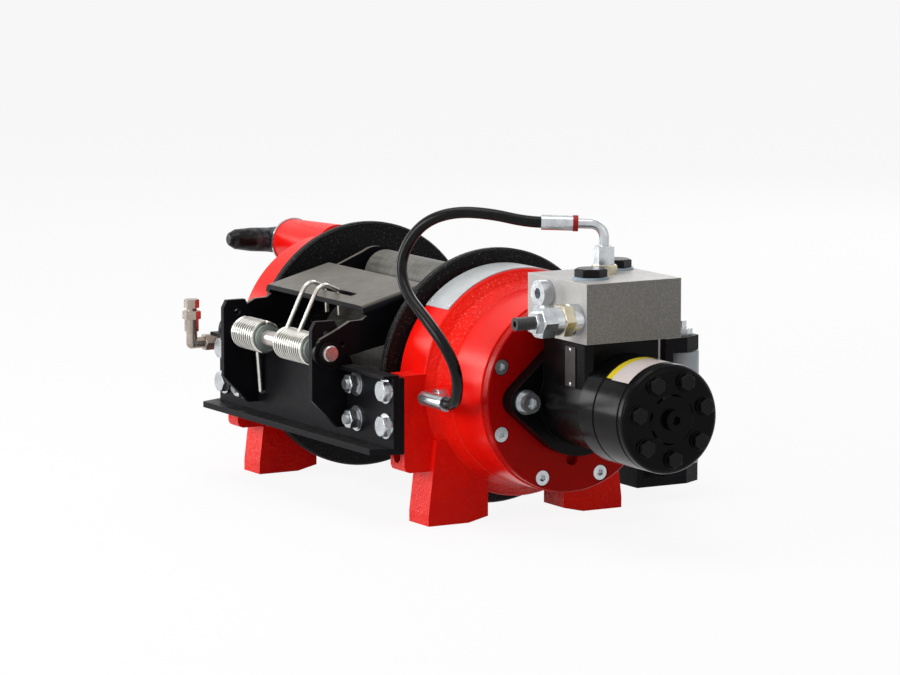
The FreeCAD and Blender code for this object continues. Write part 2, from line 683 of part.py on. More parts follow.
def member_holes(name, side, front, reach):
    """Two bolt holes that run from in front of the lug face into the lug."""
    along = "y" if front < 0 else "-y"
    start = front * (S.lug_face + reach)
    length = reach + S.bolt_grip + 1
    return [rod(f"{name}_{row}", S.bolt_dia + 2 * S.fit_gap, length,
                (bolt_x(side), start, height), along) for row, height in BOLT_ROWS]


def housing(name, side, profile, foot_width, more=()):
    """Cast housing: turned body, two feet, two lugs, bearing bore and holes."""
    along = "x" if side > 0 else "-x"
    pieces = [turned(name + "_body", profile, (side * RING_START, 0, AXIS), along)]
    tools = [rod(name + "_bearing", S.journal_dia + 2 * S.bearing_gap, S.journal_length + 2,
                 (side * RING_START, 0, AXIS), along)]
    for where, front in (("front", -1), ("rear", 1)):
        key = f"{name}_{where}"
        pieces.append(foot(key + "_foot", side, front, foot_width))
        pieces.append(lug(key + "_lug", side, front))
        tools += lug_slot(key + "_slot", side, front)
        tools += member_holes(key + "_bolt", side, front, 0)
        tools.append(rod(key + "_foot_hole", S.foot_hole_dia, S.foot_hole_depth,
                         (side * (RING_START + S.foot_bolt_inset), front * S.foot_bolt_y, 0)))
    pieces += more
    return pieces, tools


def gear_housing():
    ring_radius = S.gear_ring_dia / 2
    body_radius = S.gear_body_dia / 2
    end = S.gear_body_length
    edge = S.edge_break
    shoulder = ring_radius - S.shoulder_drop
    shoulder_end = S.ring_width + S.shoulder_width
    shoulder_low = shoulder - S.shoulder_fall - edge
    profile = [(0, 0), (0, ring_radius - edge), (edge, ring_radius),
               (S.ring_width - edge * 0.5, ring_radius), (S.ring_width, ring_radius - edge * 0.5),
               (S.ring_width + edge * 0.5, shoulder + edge), (S.ring_width + edge * 1.5, shoulder),
               (shoulder_end - edge * 2, shoulder - S.shoulder_fall), (shoulder_end, shoulder_low),
               (S.ring_width + S.cone_length, body_radius), (end - edge * 0.5, body_radius),
               (end, body_radius - edge * 0.5), (end, 0)]
    pieces, tools = housing("gear_housing", 1, profile, S.gear_foot_width)
    face = S.brake_y - S.brake_seat
    pieces.append(rod("brake_pad", S.brake_pad_dia, S.brake_pad_depth,
                      (RING_START + S.brake_inset, -face, AXIS - S.brake_drop), "y"))
    node(cut("gear_housing", fuse("gear_housing_solid", pieces), tools), "gear_housing")


def cover(name, side, start, dia, thick, circle, count, first, extra):
    """End cover with countersunk cap screws; returns nothing, makes two nodes."""
    along = "x" if side > 0 else "-x"
    edge = S.edge_break * 0.6
    profile = [(0, 0), (0, dia / 2), (thick - edge, dia / 2), (thick, dia / 2 - edge), (thick, 0)]
    body = turned(name + "_disc", profile, (side * start, 0, AXIS), along)
    tools, screws = list(extra), []
    bore = S.cover_head_dia + 4 * S.fit_gap
    depth = S.cover_head_height + 1
    for i in range(count):
        angle = math.radians(360 / count * (i + first))
        y = circle / 2 * math.cos(angle)
        z = AXIS + circle / 2 * math.sin(angle)
        face = side * (start + thick)
        seat = side * (start + thick - depth)
        key = f"{name}_screw_{i + 1}"
        back = "-x" if side > 0 else "x"
        tools.append(rod(key + "_sink", bore, depth, (face, y, z), back))
        tools.append(rod(key + "_hole", S.cover_screw_dia + 2 * S.fit_gap, thick, (face, y, z), back))
        head = rod(key + "_head", S.cover_head_dia, S.cover_head_height, (seat, y, z), along)
        shank = rod(key + "_shank", S.cover_screw_dia, thick - depth, (seat, y, z), back)
        top = side * (start + thick - depth + S.cover_head_height)
        socket = hexagon(key + "_key", S.cover_head_dia * 0.45, S.cover_head_height * 0.5,
                         (top, y, z), back)
        screws.append(cut(key, fuse(key + "_solid", [head, shank]), [socket]))
    node(cut(name, body, tools), name)
    node(group(name + "_screws", screws), name + "_screws")


def gear_cover():
    face = BODY_END + S.cover_thick
    drain = rod("drain", S.drain_dia, S.cover_thick * 0.8, (face, 0, AXIS - S.drain_drop), "-x")
    cover("gear_end_cover", 1, BODY_END, S.cover_dia, S.cover_thick,
          S.cover_bolt_circle, GEAR_SCREWS, 0.5, [drain])


def clutch_housing():
    ring_radius = S.ring_dia / 2
    end = S.clutch_length
    edge = S.edge_break
    profile = [(0, 0), (0, ring_radius - edge), (edge, ring_radius),
               (end - edge * 2, ring_radius), (end, ring_radius - edge * 2), (end, 0)]
    boss_start = RING_START + S.ring_width
    boss = cone("clutch_boss", S.boss_root_dia, S.boss_dia, BOSS_END - boss_start,
                (-boss_start, 0, BOSS_HEIGHT), "-x")
    pieces, tools = housing("clutch_housing", -1, profile, S.clutch_foot_width, [boss])
    for where, front in (("front", -1), ("rear", 1)):
        start = -RING_START - S.clutch_lug_inset - S.lug_notch
        y_low, y_high = (-S.lug_face, -AIR_SEAT) if front < 0 else (AIR_SEAT, S.lug_face)
        tools.append(block(f"clutch_{where}_lug_notch", (start, y_low, S.clutch_lug_low),
                           (start + S.lug_notch, y_high, MEMBER_LOW)))
    tools.append(rod("air_port", S.air_tube_dia + 0.1, S.ring_dia / 2,
                     (AIR_X, -AIR_SEAT, AXIS + S.air_rise), "-y"))
    tools.append(rod("clutch_shaft_bore", S.shaft_dia + 2 * S.bearing_gap, S.shaft_depth + 1,
                     (-BOSS_END, 0, BOSS_HEIGHT), "x"))
    node(cut("clutch_housing", fuse("clutch_housing_solid", pieces), tools), "clutch_housing")
    half = S.boss_root_dia / 2 + 1
    cover("clutch_end_cover", -1, CLUTCH_END, S.clutch_cover_dia, S.clutch_cover_thick,
          S.clutch_bolt_circle, CLUTCH_SCREWS, 0,
          [block("boss_room", (-CLUTCH_END - S.clutch_cover_thick, -half, BOSS_HEIGHT - half),
                 (-CLUTCH_END, half, AXIS + S.clutch_cover_dia))])


# ---------------------------------------------------------------- clutch handle
def clutch_handle():
    face = BOSS_END + S.collar_thick
    node(ring("clutch_collar", S.boss_dia + 2.5, S.shaft_dia + 2 * S.bearing_gap, S.collar_thick,
              (-BOSS_END, 0, BOSS_HEIGHT), "-x"), "clutch_collar")
    hub = S.handle_hub_dia / 2
    centre = -face - S.handle_gap - hub
    tip = S.handle_tip_dia / 2
    grip_radius = S.handle_grip_dia / 2
    reach = S.handle_reach
    half = [(reach, tip * 0.75), (reach - tip * 0.2, tip),
            (reach - S.handle_shoulder, S.handle_shoulder_dia / 2), (reach * 0.62, grip_radius),
            (reach * 0.32, grip_radius * 1.03), (hub * 0.8, hub)]
    corners = [(reach, 0)] + half + [(-u, v) for u, v in reversed(half)] + [(-reach, 0)]
    grip = turned("clutch_grip", corners, (centre, 0, BOSS_HEIGHT), "y")
    tilt = Rotation(Vector(1, 0, 0), -HANDLE_TILT)
    grip.Placement.Rotation = tilt * TURNED["y"]
    shaft = rod("clutch_shaft", S.shaft_dia, S.shaft_depth + S.collar_thick + S.handle_gap + hub,
                (-BOSS_END + S.shaft_depth, 0, BOSS_HEIGHT), "-x")
    node(fuse("clutch_handle", [grip, shaft]), "clutch_handle")


# ---------------------------------------------------------------- front member and bolts
WEB_FACE = S.lug_face + S.web_thick
PLATE_FACE = WEB_FACE + S.bracket_thick


def front_cross_member():
    end = MEMBER_END
    web = block("front_web", (-end, -WEB_FACE, MEMBER_LOW),
                (end, -S.lug_face, BRACKET_HIGH - S.member_drop))
    reach = WEB_FACE + S.flange_reach
    corners = [(-end, -S.lug_face), (-end, -WEB_FACE), (-end + S.flange_cut, -reach),
               (end - S.flange_cut, -reach), (end, -WEB_FACE), (end, -S.lug_face)]
    flange = plate("front_flange", "XY_Plane", corners, MEMBER_LOW, S.web_thick)
    tools = []
    for side_name, side in SIDES:
        tools += member_holes(f"front_web_{side_name}", side, -1, S.web_thick)
        tools += stud_holes(f"front_web_{side_name}_stud", side)
    node(cut("front_cross_member", fuse("front_member_solid", [web, flange]), tools),
         "front_cross_member")


def stud_holes(name, side):
    return [rod(f"{name}_{row}", S.stud_dia + 2 * S.fit_gap, S.web_thick + S.bracket_thick,
                (side * S.stud_x, -PLATE_FACE, height), "y")
            for row, height in BOLT_ROWS]


def member_bolts(name, front, face):
    """Four bolts with washers, from a face into the lugs."""
    bolts = []
    into = "y" if front < 0 else "-y"
    out = "-y" if front < 0 else "y"
    for side_name, side in SIDES:
        for row, height in BOLT_ROWS:
            key = f"{name}_{side_name}_{row}"
            x = bolt_x(side)
            shank = rod(key + "_shank", S.bolt_dia, face - S.lug_face + S.bolt_grip,
                        (x, front * face, height), into)
            washer = rod(key + "_washer", S.washer_dia, S.washer_thick, (x, front * face, height), out)
            head = hexagon(key + "_head", S.bolt_flats, S.bolt_head,
                           (x, front * (face + S.washer_thick), height), out)
            bolts.append(fuse(key, [shank, washer, head]))
    node(group(name, bolts), name)


def bracket_studs():
    studs, nuts = [], []
    for side_name, side in SIDES:
        for row, height in BOLT_ROWS:
            key = f"bracket_stud_{side_name}_{row}"
            x = side * S.stud_x
            packet = S.nut_washer_thick + S.nut_height
            length = S.web_thick + S.bracket_thick + packet + S.stud_proud
            studs.append(rod(key, S.stud_dia, length, (x, -S.lug_face, height), "-y"))
            bore = rod(key + "_bore", S.stud_dia + 0.1, packet, (x, -PLATE_FACE, height), "-y")
            washer = rod(key + "_washer", S.nut_washer_dia, S.nut_washer_thick,
                         (x, -PLATE_FACE, height), "-y")
            seat = -PLATE_FACE - S.nut_washer_thick
            flange = rod(key + "_flange", S.nut_flange_dia, S.nut_flange_thick, (x, seat, height), "-y")
            nut = hexagon(key + "_hexagon", S.nut_flats, S.nut_height, (x, seat, height), "-y")
            nuts.append(cut(key + "_nut", fuse(key + "_nut_solid", [washer, flange, nut]), [bore]))
    node(group("bracket_studs", studs), "bracket_studs")
    node(group("bracket_nuts", nuts), "bracket_nuts")


# ---------------------------------------------------------------- tensioner bracket
def tensioner_bracket():
    left, right = -RING_START - S.bracket_inset, MEMBER_END
    low = MEMBER_LOW + S.web_thick
    front = -PLATE_FACE - S.lip_depth
    back = block("bracket_back", (left, -PLATE_FACE, low), (right, -WEB_FACE, BRACKET_HIGH))
    lip = block("bracket_lip", (left, front, BRACKET_HIGH - S.lip_thick),
                (right, -WEB_FACE, BRACKET_HIGH))
    cheek_high = S.rod_height + S.cheek_rise
    cheek_low = MEMBER_LOW + S.cheek_base
    leg_low = MEMBER_LOW + S.anchor_rise
    corners = [(-WEB_FACE, cheek_low), (-(S.cheek_front - S.cheek_cut), cheek_low),
               (-S.cheek_front, cheek_low + S.cheek_cut),
               (-S.cheek_front, cheek_high - S.cheek_nip * 1.3),
               (-S.cheek_front + S.cheek_nip * 0.7, cheek_high),
               (-S.cheek_top_back, cheek_high), (-WEB_FACE, BRACKET_HIGH)]
    pieces, tools = [back, lip], []
    for side_name, side in SIDES:
        start = S.cheek_x - S.bracket_thick if side > 0 else -S.cheek_x
        pieces.append(plate(f"bracket_cheek_{side_name}", "YZ_Plane", corners, start,
                            S.bracket_thick))
        tools += member_holes(f"bracket_{side_name}", side, -1, S.web_thick + S.bracket_thick)
        tools += stud_holes(f"bracket_{side_name}_stud", side)
    tools.append(rod("spring_leg_hole", S.wire_dia + 0.3, S.bracket_thick,
                     (S.anchor_x - S.anchor_lean, -PLATE_FACE, leg_low), "y"))
    notch = S.notch_width / 2
    tools.append(block("spring_notch", (S.anchor_x - notch, front, BRACKET_HIGH - S.lip_thick),
                       (S.anchor_x + notch, -PLATE_FACE, BRACKET_HIGH)))
    width = 2 * S.cheek_x
    tools.append(rod("bracket_rod_hole", S.rod_dia + 0.2, width,
                     (-S.cheek_x, -S.rod_y, S.rod_height), "x"))
    tools.append(rod("bracket_pin_hole", S.pin_hole_dia, width,
                     (-S.cheek_x, -S.rod_y, S.rod_height + S.pin_hole_rise), "x"))
    node(cut("tensioner_bracket", fuse("bracket_solid", pieces), tools), "tensioner_bracket")


EAR_FACE = S.cheek_x + S.flap_gap + S.flap_sheet


def pivot_rod():
    edge = S.edge_break * 0.5
    length = 2 * S.rod_end
    radius = S.rod_dia / 2
    corners = [(0, 0), (0, radius - edge), (edge, radius), (length - edge, radius),
               (length, radius - edge), (length, 0)]
    node(turned("pivot_rod", corners, (-S.rod_end, -S.rod_y, S.rod_height)), "pivot_rod")
    clips = []
    for side_name, side in SIDES:
        clips.append(ring(f"rod_clip_{side_name}", S.ring_clip_dia, S.rod_dia + 0.1,
                          S.ring_clip_thick, (side * (EAR_FACE + S.flap_gap), -S.rod_y, S.rod_height),
                          "x" if side > 0 else "-x"))
    node(group("rod_retaining_rings", clips), "rod_retaining_rings")


# ---------------------------------------------------------------- tension flap
ROLLER_HEIGHT = AXIS + S.barrel_dia / 2 + S.roller_rest + S.roller_dia / 2


FLAP_FRONT_Z = S.rod_height + S.flap_front_rise
FLAP_BACK_Z = S.rod_height + S.flap_back_rise
SLOPE = (S.flap_back_rise - S.flap_front_rise) / (S.flap_front_y - S.flap_back_y)

# front edge of a flap arm from the ear to the fold: behind and above the pivot rod
ARM_FRONT = [(-9.7, 13.9), (3.6, 19.8), (12.5, 24.1), (23.7, 29.8), (37.1, 30.3), (42.7, 33.9)]


def flap_arm(name, side):
    """Side arm of the flap: ear round the rod, arm to the roller axle."""
    start = S.cheek_x + S.flap_gap if side > 0 else -EAR_FACE
    ear, arm = S.ear_radius, S.arm_radius
    end_y = -S.roller_y - S.arm_ahead
    corners = [(-S.rod_y + S.arm_scale * y, S.rod_height + S.arm_scale * z) for y, z in ARM_FRONT]
    corners += [(-S.flap_front_y, FLAP_FRONT_Z - S.flap_bend),
                (-S.flap_back_y, FLAP_BACK_Z - S.flap_bend),
                (end_y - arm * 0.45, ROLLER_HEIGHT + arm * 0.88), (end_y, ROLLER_HEIGHT),
                (end_y, ROLLER_HEIGHT - arm * 0.9),
                (-S.rod_y + S.arm_under_y, S.rod_height - S.arm_under), (-S.rod_y, S.rod_height)]
    return [plate(name, "YZ_Plane", corners, start, S.flap_sheet),
            rod(name + "_ear", 2 * ear, S.flap_sheet, (start, -S.rod_y, S.rod_height), "x"),
            rod(name + "_end", 2 * arm, S.flap_sheet, (start, end_y, ROLLER_HEIGHT), "x")]


def tension_flap():
    thick = S.flap_sheet
    front, back = -S.flap_front_y, -S.flap_back_y
    top = [(front, FLAP_FRONT_Z), (back, FLAP_BACK_Z), (back, FLAP_BACK_Z - thick),
           (front, FLAP_FRONT_Z - thick)]
    flat_half = EAR_FACE - S.flap_bend
    pieces = [plate("flap_top", "YZ_Plane", top, -flat_half, 2 * flat_half)]
    bend_top = [(front, FLAP_FRONT_Z), (back, FLAP_BACK_Z),
                (back, FLAP_BACK_Z - S.flap_bend), (front, FLAP_FRONT_Z - S.flap_bend)]
    for side_name, side in SIDES:
        pieces += flap_arm(f"flap_arm_{side_name}", side)
        corner = plate(f"flap_corner_{side_name}", "YZ_Plane", bend_top,
                       flat_half if side > 0 else -EAR_FACE, S.flap_bend)
        run = doc.addObject("Part::Cylinder", f"flap_bend_{side_name}")
        bind(run, "Radius", S.flap_bend)
        bind(run, "Height", 2 * (S.flap_front_y - S.flap_back_y))
        tilt = math.degrees(math.atan(value_of(SLOPE)))
        middle = (side * flat_half, -S.flap_front_y * 1.3, FLAP_FRONT_Z - S.flap_bend
                  - SLOPE * S.flap_front_y * 0.3)
        place(run, middle, Rotation(Vector(1, 0, 0), tilt - 90))
        shaped = doc.addObject("Part::Common", f"flap_fold_{side_name}")
        shaped.Base = corner
        shaped.Tool = run
        pieces.append(shaped)
    tools = [rod("flap_rod_hole", S.rod_dia + 2 * S.bearing_gap, 2 * EAR_FACE,
                 (-EAR_FACE, -S.rod_y, S.rod_height), "x"),
             rod("flap_small_hole", S.arm_hole_dia, 2 * EAR_FACE,
                 (-EAR_FACE, -S.rod_y + S.arm_hole_y, S.rod_height + S.arm_hole_rise), "x"),
             rod("flap_relief", S.barrel_dia + 2 * S.relief_gap, 2 * EAR_FACE,
                 (-EAR_FACE, 0, AXIS), "x"),
             rod("flap_axle_hole", S.axle_dia, 2 * EAR_FACE,
                 (-EAR_FACE, -S.roller_y, ROLLER_HEIGHT), "x")]
    straight = S.slot_length - S.slot_width
    low, high = FLAP_FRONT_Z - S.flap_bend, FLAP_BACK_Z + S.flap_bend
    for end in (-1, 1):
        tools.append(rod(f"flap_slot_end_{end + 1}", S.slot_width, high - low,
                         (S.slot_x + end * straight / 2, -S.slot_y, low)))
    tools.append(block("flap_slot_mid", (S.slot_x - straight / 2, -S.slot_y - S.slot_width / 2, low),
                       (S.slot_x + straight / 2, -S.slot_y + S.slot_width / 2, high)))
    node(cut("tension_flap", fuse("flap_solid", pieces), tools), "tension_flap")


def tension_roller():
    axle_gap = S.bearing_gap
    node(ring("tension_roller", S.roller_dia, S.axle_dia + 2 * axle_gap, 2 * S.roller_half,
              (-S.roller_half, -S.roller_y, ROLLER_HEIGHT), "x"), "tension_roller")
    node(rod("roller_axle", S.axle_dia, 2 * (EAR_FACE + S.ring_clip_thick),
             (-EAR_FACE - S.ring_clip_thick, -S.roller_y, ROLLER_HEIGHT), "x"), "roller_axle")


# ---------------------------------------------------------------- springs
def coil(name, start, end):
    """Close-wound coil, as a sleeve with one round rib for each turn of wire."""
    wire = value_of(S.wire_dia)
    length = value_of(end) - value_of(start)
    turns = max(2, round(length / wire))
    pitch = length / turns
    mean = (value_of(S.coil_dia) - wire) / 2
    swell = pitch / 2
    edges = []
    for i in range(turns):
        x = i * pitch
        edges.append(Part.Arc(Vector(x, mean, 0), Vector(x + pitch / 2, mean + swell, 0),
                              Vector(x + pitch, mean, 0)).toShape())
    inner = mean - swell
    edges.append(Part.LineSegment(Vector(length, mean, 0), Vector(length, inner, 0)).toShape())
    edges.append(Part.LineSegment(Vector(length, inner, 0), Vector(0, inner, 0)).toShape())
    edges.append(Part.LineSegment(Vector(0, inner, 0), Vector(0, mean, 0)).toShape())
    face = Part.Face(Part.Wire(edges))
    solid = face.revolve(Vector(0, 0, 0), Vector(1, 0, 0), 360)
    obj = drawn(name, solid)
    return place(obj, (start, -S.rod_y, S.rod_height))


def spring_leg(name, x):
    """Upper leg: from the top of the coil up, over the flap's fold and down into the slot."""
    mean = (S.coil_dia - S.wire_dia) / 2
    fold_y, fold_z = -S.flap_front_y, FLAP_FRONT_Z
    slot_z = fold_z + SLOPE * (S.flap_front_y - S.slot_y)
    inside = x - S.leg_shift
    points = [(x, -S.rod_y - 3, S.rod_height + mean - 0.5),
              (x, fold_y - S.leg_front, fold_z + S.leg_front_rise),
              (x, fold_y - S.leg_crest, fold_z + S.leg_crest_rise),
              (inside, -S.slot_y - 1, slot_z + 1),
              (inside - 1.5, -S.slot_y + 1.5, slot_z - S.leg_drop)]
    route = [Vector(value_of(across), value_of(y), value_of(z)) for across, y, z in points]
    solid, length, radii = wire_along(route, value_of(S.wire_dia), value_of(S.leg_bend))
    return drawn(name, solid)


def tension_springs():
    left = coil("spring_left", S.left_coil_start, S.left_coil_end)
    right = coil("spring_right", S.right_coil_start, S.right_coil_end)
    legs = [spring_leg("spring_leg_one", S.leg_one_x), spring_leg("spring_leg_two", S.leg_two_x)]
    joined = fuse("spring_right_whole", [right] + legs)
    node(group("tension_springs", [left, joined]), "tension_springs")
    bushes = [ring(f"spring_bush_{name}", S.coil_dia - 2 * S.wire_dia - S.bush_slack,
                   S.rod_dia + 2 * S.bush_gap,
                   end - start, (start, -S.rod_y, S.rod_height), "x")
              for name, start, end in (("left", S.left_coil_start, S.left_coil_end),
                                       ("right", S.right_coil_start, S.right_coil_end))]
    node(group("spring_bushes", bushes), "spring_bushes")
    mean = (S.coil_dia - S.wire_dia) / 2
    foot_x = value_of(S.anchor_x - S.anchor_lean)
    low = value_of(MEMBER_LOW + S.anchor_rise)
    route = [Vector(value_of(S.anchor_x), value_of(-S.rod_y + mean), value_of(S.rod_height)),
             Vector(foot_x, value_of(-PLATE_FACE - S.anchor_stand), low),
             Vector(foot_x, value_of(-WEB_FACE), low)]
    solid, length, radii = wire_along(route, value_of(S.wire_dia), value_of(S.anchor_bend))
    node(drawn("spring_anchor_leg", solid), "spring_anchor_leg")


# ---------------------------------------------------------------- motor
MOTOR_FACE = BODY_END + S.cover_thick
VALVE_LOW = AXIS + S.valve_rise
VALVE_HIGH = VALVE_LOW + S.valve_height


def motor_body():
    big = S.motor_flange_dia / 2
    small = S.motor_ear_radius
    far = S.motor_ear_y
    lean = (big - small) / far
    rise = root(1 - lean * lean)
    upper = [(-far - small * lean, AXIS + small * rise), (-big * lean, AXIS + big * rise),
             (big * lean, AXIS + big * rise), (far + small * lean, AXIS + small * rise)]
    lower = [(far + small * lean, AXIS - small * rise), (big * lean, AXIS - big * rise),
             (-big * lean, AXIS - big * rise), (-far - small * lean, AXIS - small * rise)]
    thick = S.motor_flange_thick
    pieces = [plate("motor_flange_web", "YZ_Plane", upper + lower, MOTOR_FACE, thick),
              rod("motor_flange_disc", S.motor_flange_dia, thick, (MOTOR_FACE, 0, AXIS), "x")]
    tools = []
    for end in (-1, 1):
        pieces.append(rod(f"motor_ear_{end + 1}", 2 * small, thick, (MOTOR_FACE, end * far, AXIS), "x"))
        tools.append(rod(f"motor_ear_hole_{end + 1}", S.motor_screw_head * 0.6 + 2 * S.fit_gap, thick,
                         (MOTOR_FACE, end * far, AXIS), "x"))
    neck_start = MOTOR_FACE + thick
    ring_start = MOTOR_FACE + S.motor_ring_inset
    block_end = MOTOR_FACE + S.port_block_length
    pieces.append(rod("motor_neck", S.motor_neck_dia, ring_start - neck_start,
                      (neck_start, 0, AXIS), "x"))
    half = S.port_block_half
    nip = S.edge_break * 3
    corners = [(neck_start, -half), (block_end - nip, -half), (block_end, -half + nip),
               (block_end, half - nip), (block_end - nip, half), (neck_start, half)]
    port = plate("motor_port_block", "XY_Plane", corners, AXIS, S.valve_rise)
    room = rod("motor_ring_room", S.motor_ring_dia, block_end - ring_start, (ring_start, 0, AXIS), "x")
    pieces.append(cut("motor_port", port, [room]))
    node(cut("motor_body", fuse("motor_body_solid", pieces), tools), "motor_body")


def motor_barrel():
    radius = S.motor_ring_dia / 2
    nick = S.edge_break * 0.7
    for label, start, end in (("motor_ring", S.motor_ring_inset, S.gerotor_inset),
                              ("motor_gerotor", S.gerotor_inset, S.end_cap_inset)):
        length = end - start
        corners = [(0, 0), (0, radius - nick), (nick, radius), (length - nick, radius),
                   (length, radius - nick), (length, 0)]
        node(turned(label, corners, (MOTOR_FACE + start, 0, AXIS)), label)
    length = S.motor_length - S.end_cap_inset
    curve = S.cap_round
    arc = [(length - curve + curve * math.sin(math.radians(a)),
            radius - curve + curve * math.cos(math.radians(a))) for a in (0, 22.5, 45, 67.5, 90)]
    corners = [(0, 0), (0, radius - nick), (nick, radius)] + arc + [
        (length, S.cap_boss_dia / 2 + S.cap_boss_height * 0.4),
        (length + S.cap_boss_height, S.cap_boss_dia / 2 - S.cap_boss_height * 0.4),
        (length + S.cap_boss_height, 0)]
    node(turned("motor_end_cap", corners, (MOTOR_FACE + S.end_cap_inset, 0, AXIS)), "motor_end_cap")
    motor_end = MOTOR_FACE + S.motor_length
    plug_face = motor_end + S.cap_boss_height
    plug = rod("motor_plug_solid", S.cap_plug_dia, S.cap_plug_height, (plug_face, 0, AXIS), "x")
    key = hexagon("motor_plug_key", S.cap_plug_dia * 0.4, S.cap_plug_height * 0.8,
                  (plug_face + S.cap_plug_height, 0, AXIS), "-x")
    node(cut("motor_plug", plug, [key]), "motor_plug")
    heads = []
    for i in range(CAP_BOLTS):
        angle = math.radians(CAP_BOLT_FIRST + 360 / CAP_BOLTS * i)
        y = S.cap_bolt_radius * math.cos(angle)
        z = AXIS + S.cap_bolt_radius * math.sin(angle)
        heads.append(hexagon(f"motor_cap_bolt_{i + 1}", S.cap_bolt_flats, S.cap_bolt_head,
                             (motor_end, y, z), "x"))
    node(group("motor_cap_bolts", heads), "motor_cap_bolts")


def motor_flange_screws():
    screws = []
    face = MOTOR_FACE + S.motor_flange_thick
    for end in (-1, 1):
        key = f"motor_screw_{end + 1}"
        y = end * S.motor_ear_y
        shank = rod(key + "_shank", S.motor_screw_head * 0.6, S.motor_flange_thick, (face, y, AXIS), "-x")
        head = rod(key + "_head", S.motor_screw_head, S.motor_screw_height, (face, y, AXIS), "x")
        washer = rod(key + "_washer", S.motor_screw_head + 5, S.washer_thick, (face, y, AXIS), "x")
        socket = hexagon(key + "_key", S.motor_screw_head * 0.5, S.motor_screw_height * 0.5,
                         (face + S.motor_screw_height, y, AXIS), "-x")
        screws.append(cut(key, fuse(key + "_solid", [shank, head, washer]), [socket]))
    node(group("motor_flange_screws", screws), "motor_flange_screws")


def motor_data_plate():
    x, low = MOTOR_FACE + S.data_plate_inset, AXIS + S.data_plate_rise
    face = -S.port_block_half
    node(block("motor_data_plate", (x, face - S.data_plate_thick, low),
               (x + S.data_plate_width, face, low + S.data_plate_height)), "motor_data_plate")


# ---------------------------------------------------------------- valve block
def valve_block():
    start = MOTOR_FACE + S.valve_inset
    node(block("valve_solid", (start, -S.valve_half, VALVE_LOW),
               (start + S.valve_length, S.valve_half, VALVE_HIGH)), "valve_block")
    x, z = MOTOR_FACE + S.side_plug_inset, VALVE_HIGH - S.side_plug_drop
    plug = rod("valve_plug_solid", S.side_plug_dia, S.side_plug_proud, (x, -S.valve_half, z), "-y")
    key = hexagon("valve_plug_key", S.side_plug_dia * 0.4, S.side_plug_proud * 0.6,
                  (x, -S.valve_half - S.side_plug_proud, z), "y")
    node(cut("valve_side_plug", plug, [key]), "valve_side_plug")


# sections of the relief cartridge from the valve block outwards: across and length
CARTRIDGE = [("collar", 30, 10), ("nut", 28.5, 10.5), ("neck", 27, 9), ("cap", 28.5, 14.5)]


def valve_cartridge():
    """Relief cartridge on the valve's side: a core with a collar, a nut, a neck and a cap."""
    x, z = MOTOR_FACE + S.cartridge_inset, VALVE_HIGH - S.cartridge_drop
    pieces = []
    y = -S.valve_half
    for label, across, length in CARTRIDGE:
        long = S.cartridge_scale * length
        make = hexagon if label in ("nut", "cap") else rod
        piece = make(f"cartridge_section_{label}", S.cartridge_scale * across, long, (x, y, z), "-y")
        if label == "nut":
            bore = rod("cartridge_nut_bore", S.cartridge_core_dia + 0.1, long, (x, y, z), "-y")
            node(cut("cartridge_nut_ring", piece, [bore]), "cartridge_nut")
        else:
            pieces.append(piece)
        y = y - long
    pieces.append(rod("cartridge_core", S.cartridge_core_dia, -S.valve_half - y,
                      (x, -S.valve_half, z), "-y"))
    node(fuse("valve_cartridge", pieces), "valve_cartridge")
    nut = hexagon("adjuster_nut", S.lock_nut_flats, S.lock_nut_height, (x, y, z), "-y")
    bore = rod("adjuster_nut_bore", S.adjuster_dia + 0.1, S.lock_nut_height, (x, y, z), "-y")
    node(cut("adjuster_lock_nut", nut, [bore]), "adjuster_lock_nut")
    screw = rod("adjuster_bar", S.adjuster_dia, S.adjuster_length, (x, y, z), "-y")
    key = hexagon("adjuster_key", S.adjuster_dia * 0.45, S.adjuster_dia * 0.5,
                  (x, y - S.adjuster_length, z), "y")
    node(cut("adjuster_screw", screw, [key]), "adjuster_screw")


def port_plugs():
    plugs, washers = [], []
    for name, inset, y in (("front", S.front_port_inset, S.front_port_y),
                           ("rear", S.rear_port_inset, S.rear_port_y)):
        x = MOTOR_FACE + inset
        washers.append(rod(f"port_washer_{name}", S.port_washer_dia, S.port_washer_thick,
                           (x, y, VALVE_HIGH)))
        plugs.append(hexagon(f"port_plug_{name}", S.port_plug_flats, S.port_plug_height,
                             (x, y, VALVE_HIGH + S.port_washer_thick)))
    node(group("port_washers", washers), "port_washers")
    node(group("port_plugs", plugs), "port_plugs")


